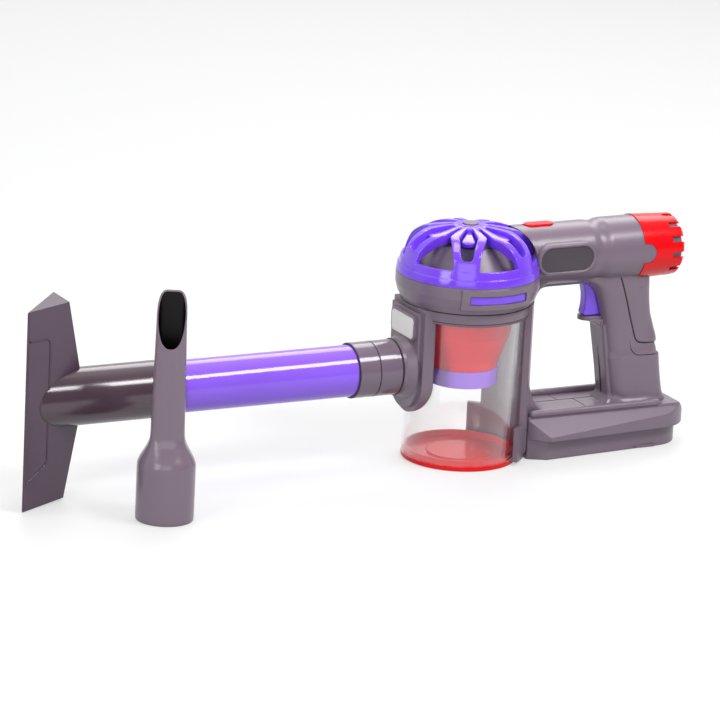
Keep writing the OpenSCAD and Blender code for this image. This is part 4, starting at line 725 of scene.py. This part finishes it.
def crevice_tool():
    """A wall of changing oval sections: up the outside to the slanted rim, down the inside to the
    bore."""
    z = np.array([0, 1.0, 36.0, 38.5, 41.5, 46.0, 50.5, 54.0, 56.5, 60.0, 80.0, 110.0, 135.0,
                  153.5])
    half_w = np.array([19.0, 19.3, 19.3, 19.1, 18.0, 15.4, 12.9, 11.7, 11.35, 11.2, 10.9, 10.35,
                       9.9, 9.5])
    half_d = np.array([19.0, 19.3, 19.3, 19.1, 17.7, 14.4, 11.4, 9.7, 9.15, 8.95, 8.6, 8.0, 7.45,
                       7.0])
    top, mouth_low, mouth_tall = 152.9, 115.0, 38.0
    rim_in, wall_in, foot_in = 0.5, 1.05, 1.5
    turn = full_turn(128)[None]
    sin, cos = np.sin(turn), np.cos(turn)
    lift = np.clip((sin + 1.0) / 2.0, 0, 1)
    high = mouth_low + mouth_tall * lift ** 0.7
    high = top - np.sqrt((top - high) ** 2 + 1.4 ** 2) + 1.3

    def wall(share, inset):
        level = np.minimum(share * high, top)
        w, d = np.interp(level, z, half_w) - inset, np.interp(level, z, half_d) - inset
        flat = 1.0 - 0.42 * ease((level - 40.0) / 16.0)
        x = np.sign(cos) * np.abs(cos) ** flat * w
        y = np.sign(sin) * np.abs(sin) ** flat * d
        return np.stack([x, y, level + 0 * turn], -1)

    low_edge = 0.004
    up = np.r_[0.0, low_edge, np.linspace(0.02, 0.24, 14), np.linspace(0.25, 0.5, 44),
               np.linspace(0.52, 0.985, 44), 0.995, 1.0][:, None]
    rim = wall(np.array([[1.0]]), rim_in) + 0.3 * UP
    inner = wall(up[::-1][1:-2], wall_in)
    foot = wall(np.array([[low_edge], [0.0]]), foot_in)
    outer = wall(up, 0.0)
    f = Form()
    # the inside wall and the foot take the second finish, painted shade in the mouth and under the
    # foot
    for ink, rows in ((0, [outer, rim]), (0, [rim, inner[:1]]), (1, [inner, foot, outer[:1]])):
        f.add(np.concatenate(rows) @ about_z(CREVICE_TURN) + CREVICE, ink=ink)
    f.make("crevice_nozzle", "crevice_tool", "gloss_grey", NOZZLE, HOLLOW_SHADE,
           stands_for=("crevice_tool",))


# joints of the wand and the head, and the deck

WAND_Z = 67.8


def hoop(x, radius, thick):
    """A thin ring round the line of the wand."""
    a, b = full_turn(96)[:, None], full_turn(10)[None]
    r = radius + thick * np.cos(b)
    return np.stack([x + thick * np.sin(b) + 0 * a, r * np.cos(a), WAND_Z + r * np.sin(a)], -1)


def rings():
    """Dark rings of painted shade in the gaps between the tube, its socket and the inlet."""
    f = Form()
    f.add(hoop(-87.35, 18.3, 0.75), round_rows=True)
    f.add(hoop(-72.2, 18.85, 0.25), round_rows=True)
    f.make("wand_joints", "wand", "gloss_grey", SHADE_LINE)
    Form().add(hoop(-55.0, 19.0, 0.7), round_rows=True).make(
        "inlet_joint", "body", "body_grey", SHADE_LINE)


def deck():
    """Round bars with round ends along both sides of the deck, and the lines of its tiles in
    painted shade.
    """
    bar_r, bar_y, bar_z = 2.5, 23.0, 31.3
    x = np.r_[41.2, 41.3, 41.6, 42.2, 43.0, np.linspace(44.0, 141.0, 60), 142.0, 142.8, 143.6,
              144.1, 144.3, 144.4]
    past = np.clip(np.maximum(43.7 - x, x - 141.9), 0, bar_r - 0.001)
    r = np.sqrt(np.clip(bar_r ** 2 - past ** 2, 0.0004, None))
    f = Form()
    for sign in (-1, 1):
        line = np.stack([x, 0 * x + sign * bar_y, 0 * x + bar_z], 1)
        f.add(bead(line, r[:, None, None], UP, 20), caps=True)
    f.make("deck_bars", "body", "body_grey", GREY)
    z = DECK_Z + 0.02
    seam("deck_lines", [[(60.0, 7.0, z), (86.0, 7.0, z), (110.0, 7.0, z)],
                        [(80.0, 7.0, z), (80.0, 14.0, z), (80.0, 20.5, z)],
                        [(92.0, -20.5, z), (92.0, -8.0, z), (92.0, 7.0, z)]], 0.22, UP)


def head_seams():
    """Dark rings of painted shade in the gaps under the crown, round the swell of the head and over
    the rim of the bin.
    """
    f = Form()
    a = np.linspace(0, 2 * np.pi, 160)
    for radius, z, thick in ((48.75, 130.9, 0.42), (44.85, 111.7, 0.32), (43.75, 104.6, 0.25)):
        line = np.stack([radius * np.cos(a), radius * np.sin(a), z + 0 * a], 1)
        f.add(bead(line, thick, UP), caps=True)
    f.make("head_seams", "body", "body_grey", SHADE_LINE)


# button and springs

BUTTON_X = 52.75


def red_button():
    """A soft oblong with round ends, almost level with the top of the barrel."""
    half_flat, end_r = 6.4, 4.55
    a = full_turn(72)
    level = np.array([154.2, 159.9, 160.5, 160.85, 161.0, 161.05])
    inset = np.array([0.0, 0.0, 0.1, 0.45, 1.2, 2.6])
    r = end_r - inset[:, None]
    grid = np.stack([BUTTON_X + np.sign(np.cos(a)) * half_flat + r * np.cos(a), r * np.sin(a),
                     level[:, None] + 0 * a[None]], -1)
    Form().add(grid, caps=True).make(
        "red_button", "top_button", "red", RED, stands_for=("top_button",))


def coil(name, node, start, stop):
    """A wire carried along a screw line, with a flat turn at each end."""
    radius, wire, turns, flat = 2.55, 0.32, 6.0, 0.8
    start, stop = np.asarray(start, float), np.asarray(stop, float)
    axis = unit(stop - start)
    t = np.linspace(0, 1, 360)[:, None]
    rise = np.clip((t * turns - flat) / (turns - 2 * flat), 0, 1)
    turn = 2 * np.pi * turns * t
    line = (start + axis * wire + (stop - start - 2 * axis * wire) * rise
            + radius * (np.cos(turn) * FAR + np.sin(turn) * np.cross(axis, FAR)))
    made = Form().add(bead(line, wire, axis, 8), caps=True).make(
        name, "body", "steel", STEEL, stands_for=(node,))
    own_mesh(made)


crown()
badge("near", -1)
badge("far", 1)
spine_corner("spine_fillet", 14.0, under_barrel, long=14.0, tall=22.0, up=1.0)
spine_corner("spine_foot", 18.5, on_deck, long=18.0, tall=28.0, up=-1.0)
handle()
grip()
trigger_blade()
head_rib()
crevice_tool()
rings()
deck()
head_lip()
head_seams()
guard_fillet()
red_button()
coil("trigger_coil", "trigger_spring", (112.25, 0, 112.6), (121.15, 0, 112.6))
coil("button_coil", "button_spring", (BUTTON_X, 0, 148.1),
     (BUTTON_X, 0, 154.0))


# floor, light and camera

FLOOR_GLOW, NEAR_ROOM, FILL = 0.48, 0.08, 0.30


def studio_floor():
    """A wide pale floor that keeps the object's shadow and reads as white in the open."""
    half, below = 6.0, 0.0003
    mesh = bpy.data.meshes.new("floor")
    mesh.from_pydata([(-half, -half, 0), (half, -half, 0), (half, half, 0), (-half, half, 0)], [],
                     [(0, 1, 2, 3)])
    floor = bpy.data.objects.new("floor", mesh)
    scene.collection.objects.link(floor)
    floor.location.z = -below
    f = Finish("pale_floor", Roughness=0.6, Specular_IOR_Level=0.2,
               Base_Color=(0.42, 0.42, 0.425, 1.0))
    seen = (f.seen_by("Camera") + f.seen_by("Glossy") + f.seen_by("Transmission")).least(1.0)
    glow = f.add("ShaderNodeEmission", {}, {"Strength": seen * FLOOR_GLOW})
    f.show(f.add("ShaderNodeAddShader", {}, {0: f.plain, 1: glow}))
    mesh.materials.append(f.material)


def studio_world():
    """White for the camera; reflections see a white room on the far side and a dim one on the near
    side, and the rest of the light is an even fill."""
    world = bpy.data.worlds.new("studio")
    world.use_nodes = True
    scene.world = world
    f = Nodes(world.node_tree)
    back = f.tree.nodes["Background"]
    aim = f.add("ShaderNodeSeparateXYZ", {}, {0: f.add("ShaderNodeTexCoord", out="Generated")}, "Y")
    room = f.add("ShaderNodeMapRange", {"interpolation_type": "SMOOTHSTEP"}, {
        "Value": aim, "From Min": -0.55, "From Max": 0.45, "To Min": NEAR_ROOM, "To Max": 1.0})
    plain = (f.seen_by("Camera") + f.seen_by("Transmission")).least(1.0)
    mirrored = f.seen_by("Glossy") * (1.0 - plain)
    rest = 1.0 - (plain + mirrored)
    f.join(back.inputs["Strength"], plain + mirrored * room + rest * FILL)
    f.join(back.inputs["Color"], (1.0, 1.0, 1.0, 1.0))


def softbox(name, place, aim, size, watts):
    """An oblong lamp at a place, turned to its aim."""
    data = bpy.data.lights.new(name, "AREA")
    data.shape = "RECTANGLE"
    data.size, data.size_y = size
    data.energy = watts
    lamp = bpy.data.objects.new(name, data)
    lamp.location = place
    lamp.rotation_euler = (Vector(aim) - Vector(place)).to_track_quat("-Z", "Y").to_euler()
    scene.collection.objects.link(lamp)


def photo_camera():
    """The camera of the photograph: yaw, fall and roll round the line of sight, and a long lens.
    It is set back so that the middle of the crown's rim falls on its own pixel."""
    yaw, fall, roll = math.radians(27.46), math.radians(16.0), math.radians(2.84)
    lens_px, frame_px, scale = 5000.0, 720.0, 0.68 * MM
    mark, mark_px = Vector((0, 0, 0.131)), (467.94, 270.56)
    right = Vector((math.cos(yaw), -math.sin(yaw), 0))
    ahead = Vector((math.sin(yaw), math.cos(yaw), 0))
    sight = ahead * math.cos(fall) - Vector((0, 0, 1)) * math.sin(fall)
    up = ahead * math.sin(fall) + Vector((0, 0, 1)) * math.cos(fall)
    px, py = (p - frame_px / 2 for p in mark_px)
    across = px * math.cos(roll) + py * math.sin(roll)
    down = -px * math.sin(roll) + py * math.cos(roll)
    eye = mark - scale * (sight * lens_px + right * across - up * down)
    data = bpy.data.cameras.new("camera")
    data.sensor_width = 36.0
    data.lens = lens_px / frame_px * data.sensor_width
    data.clip_start, data.clip_end = 0.1, 50.0
    camera = bpy.data.objects.new("camera", data)
    side = right * math.cos(roll) + up * math.sin(roll)
    top = up * math.cos(roll) - right * math.sin(roll)
    turn = Matrix((side, top, -sight)).transposed().to_4x4()
    camera.matrix_world = Matrix.Translation(eye) @ turn
    scene.collection.objects.link(camera)
    scene.camera = camera


studio_floor()
studio_world()
# name, place, aim, size in metres and watts
softbox("key_box", (0.40, -0.65, 0.98), (-0.05, 0, 0.08), (0.60, 0.26), 9)
softbox("top_box", (-0.20, 0.15, 1.5), (-0.05, 0, 0.08), (0.9, 0.5), 7)
softbox("left_box", (-1.5, -0.7, 0.7), (-0.1, 0, 0.08), (0.5, 1.0), 8)
softbox("front_box", (-0.9, -1.5, 0.7), (-0.05, 0, 0.08), (1.0, 1.0), 6)
softbox("back_box", (0.75, 1.20, 1.35), (-0.05, 0, 0.12), (1.5, 0.8), 15)
photo_camera()
scene.view_settings.view_transform = "Standard"
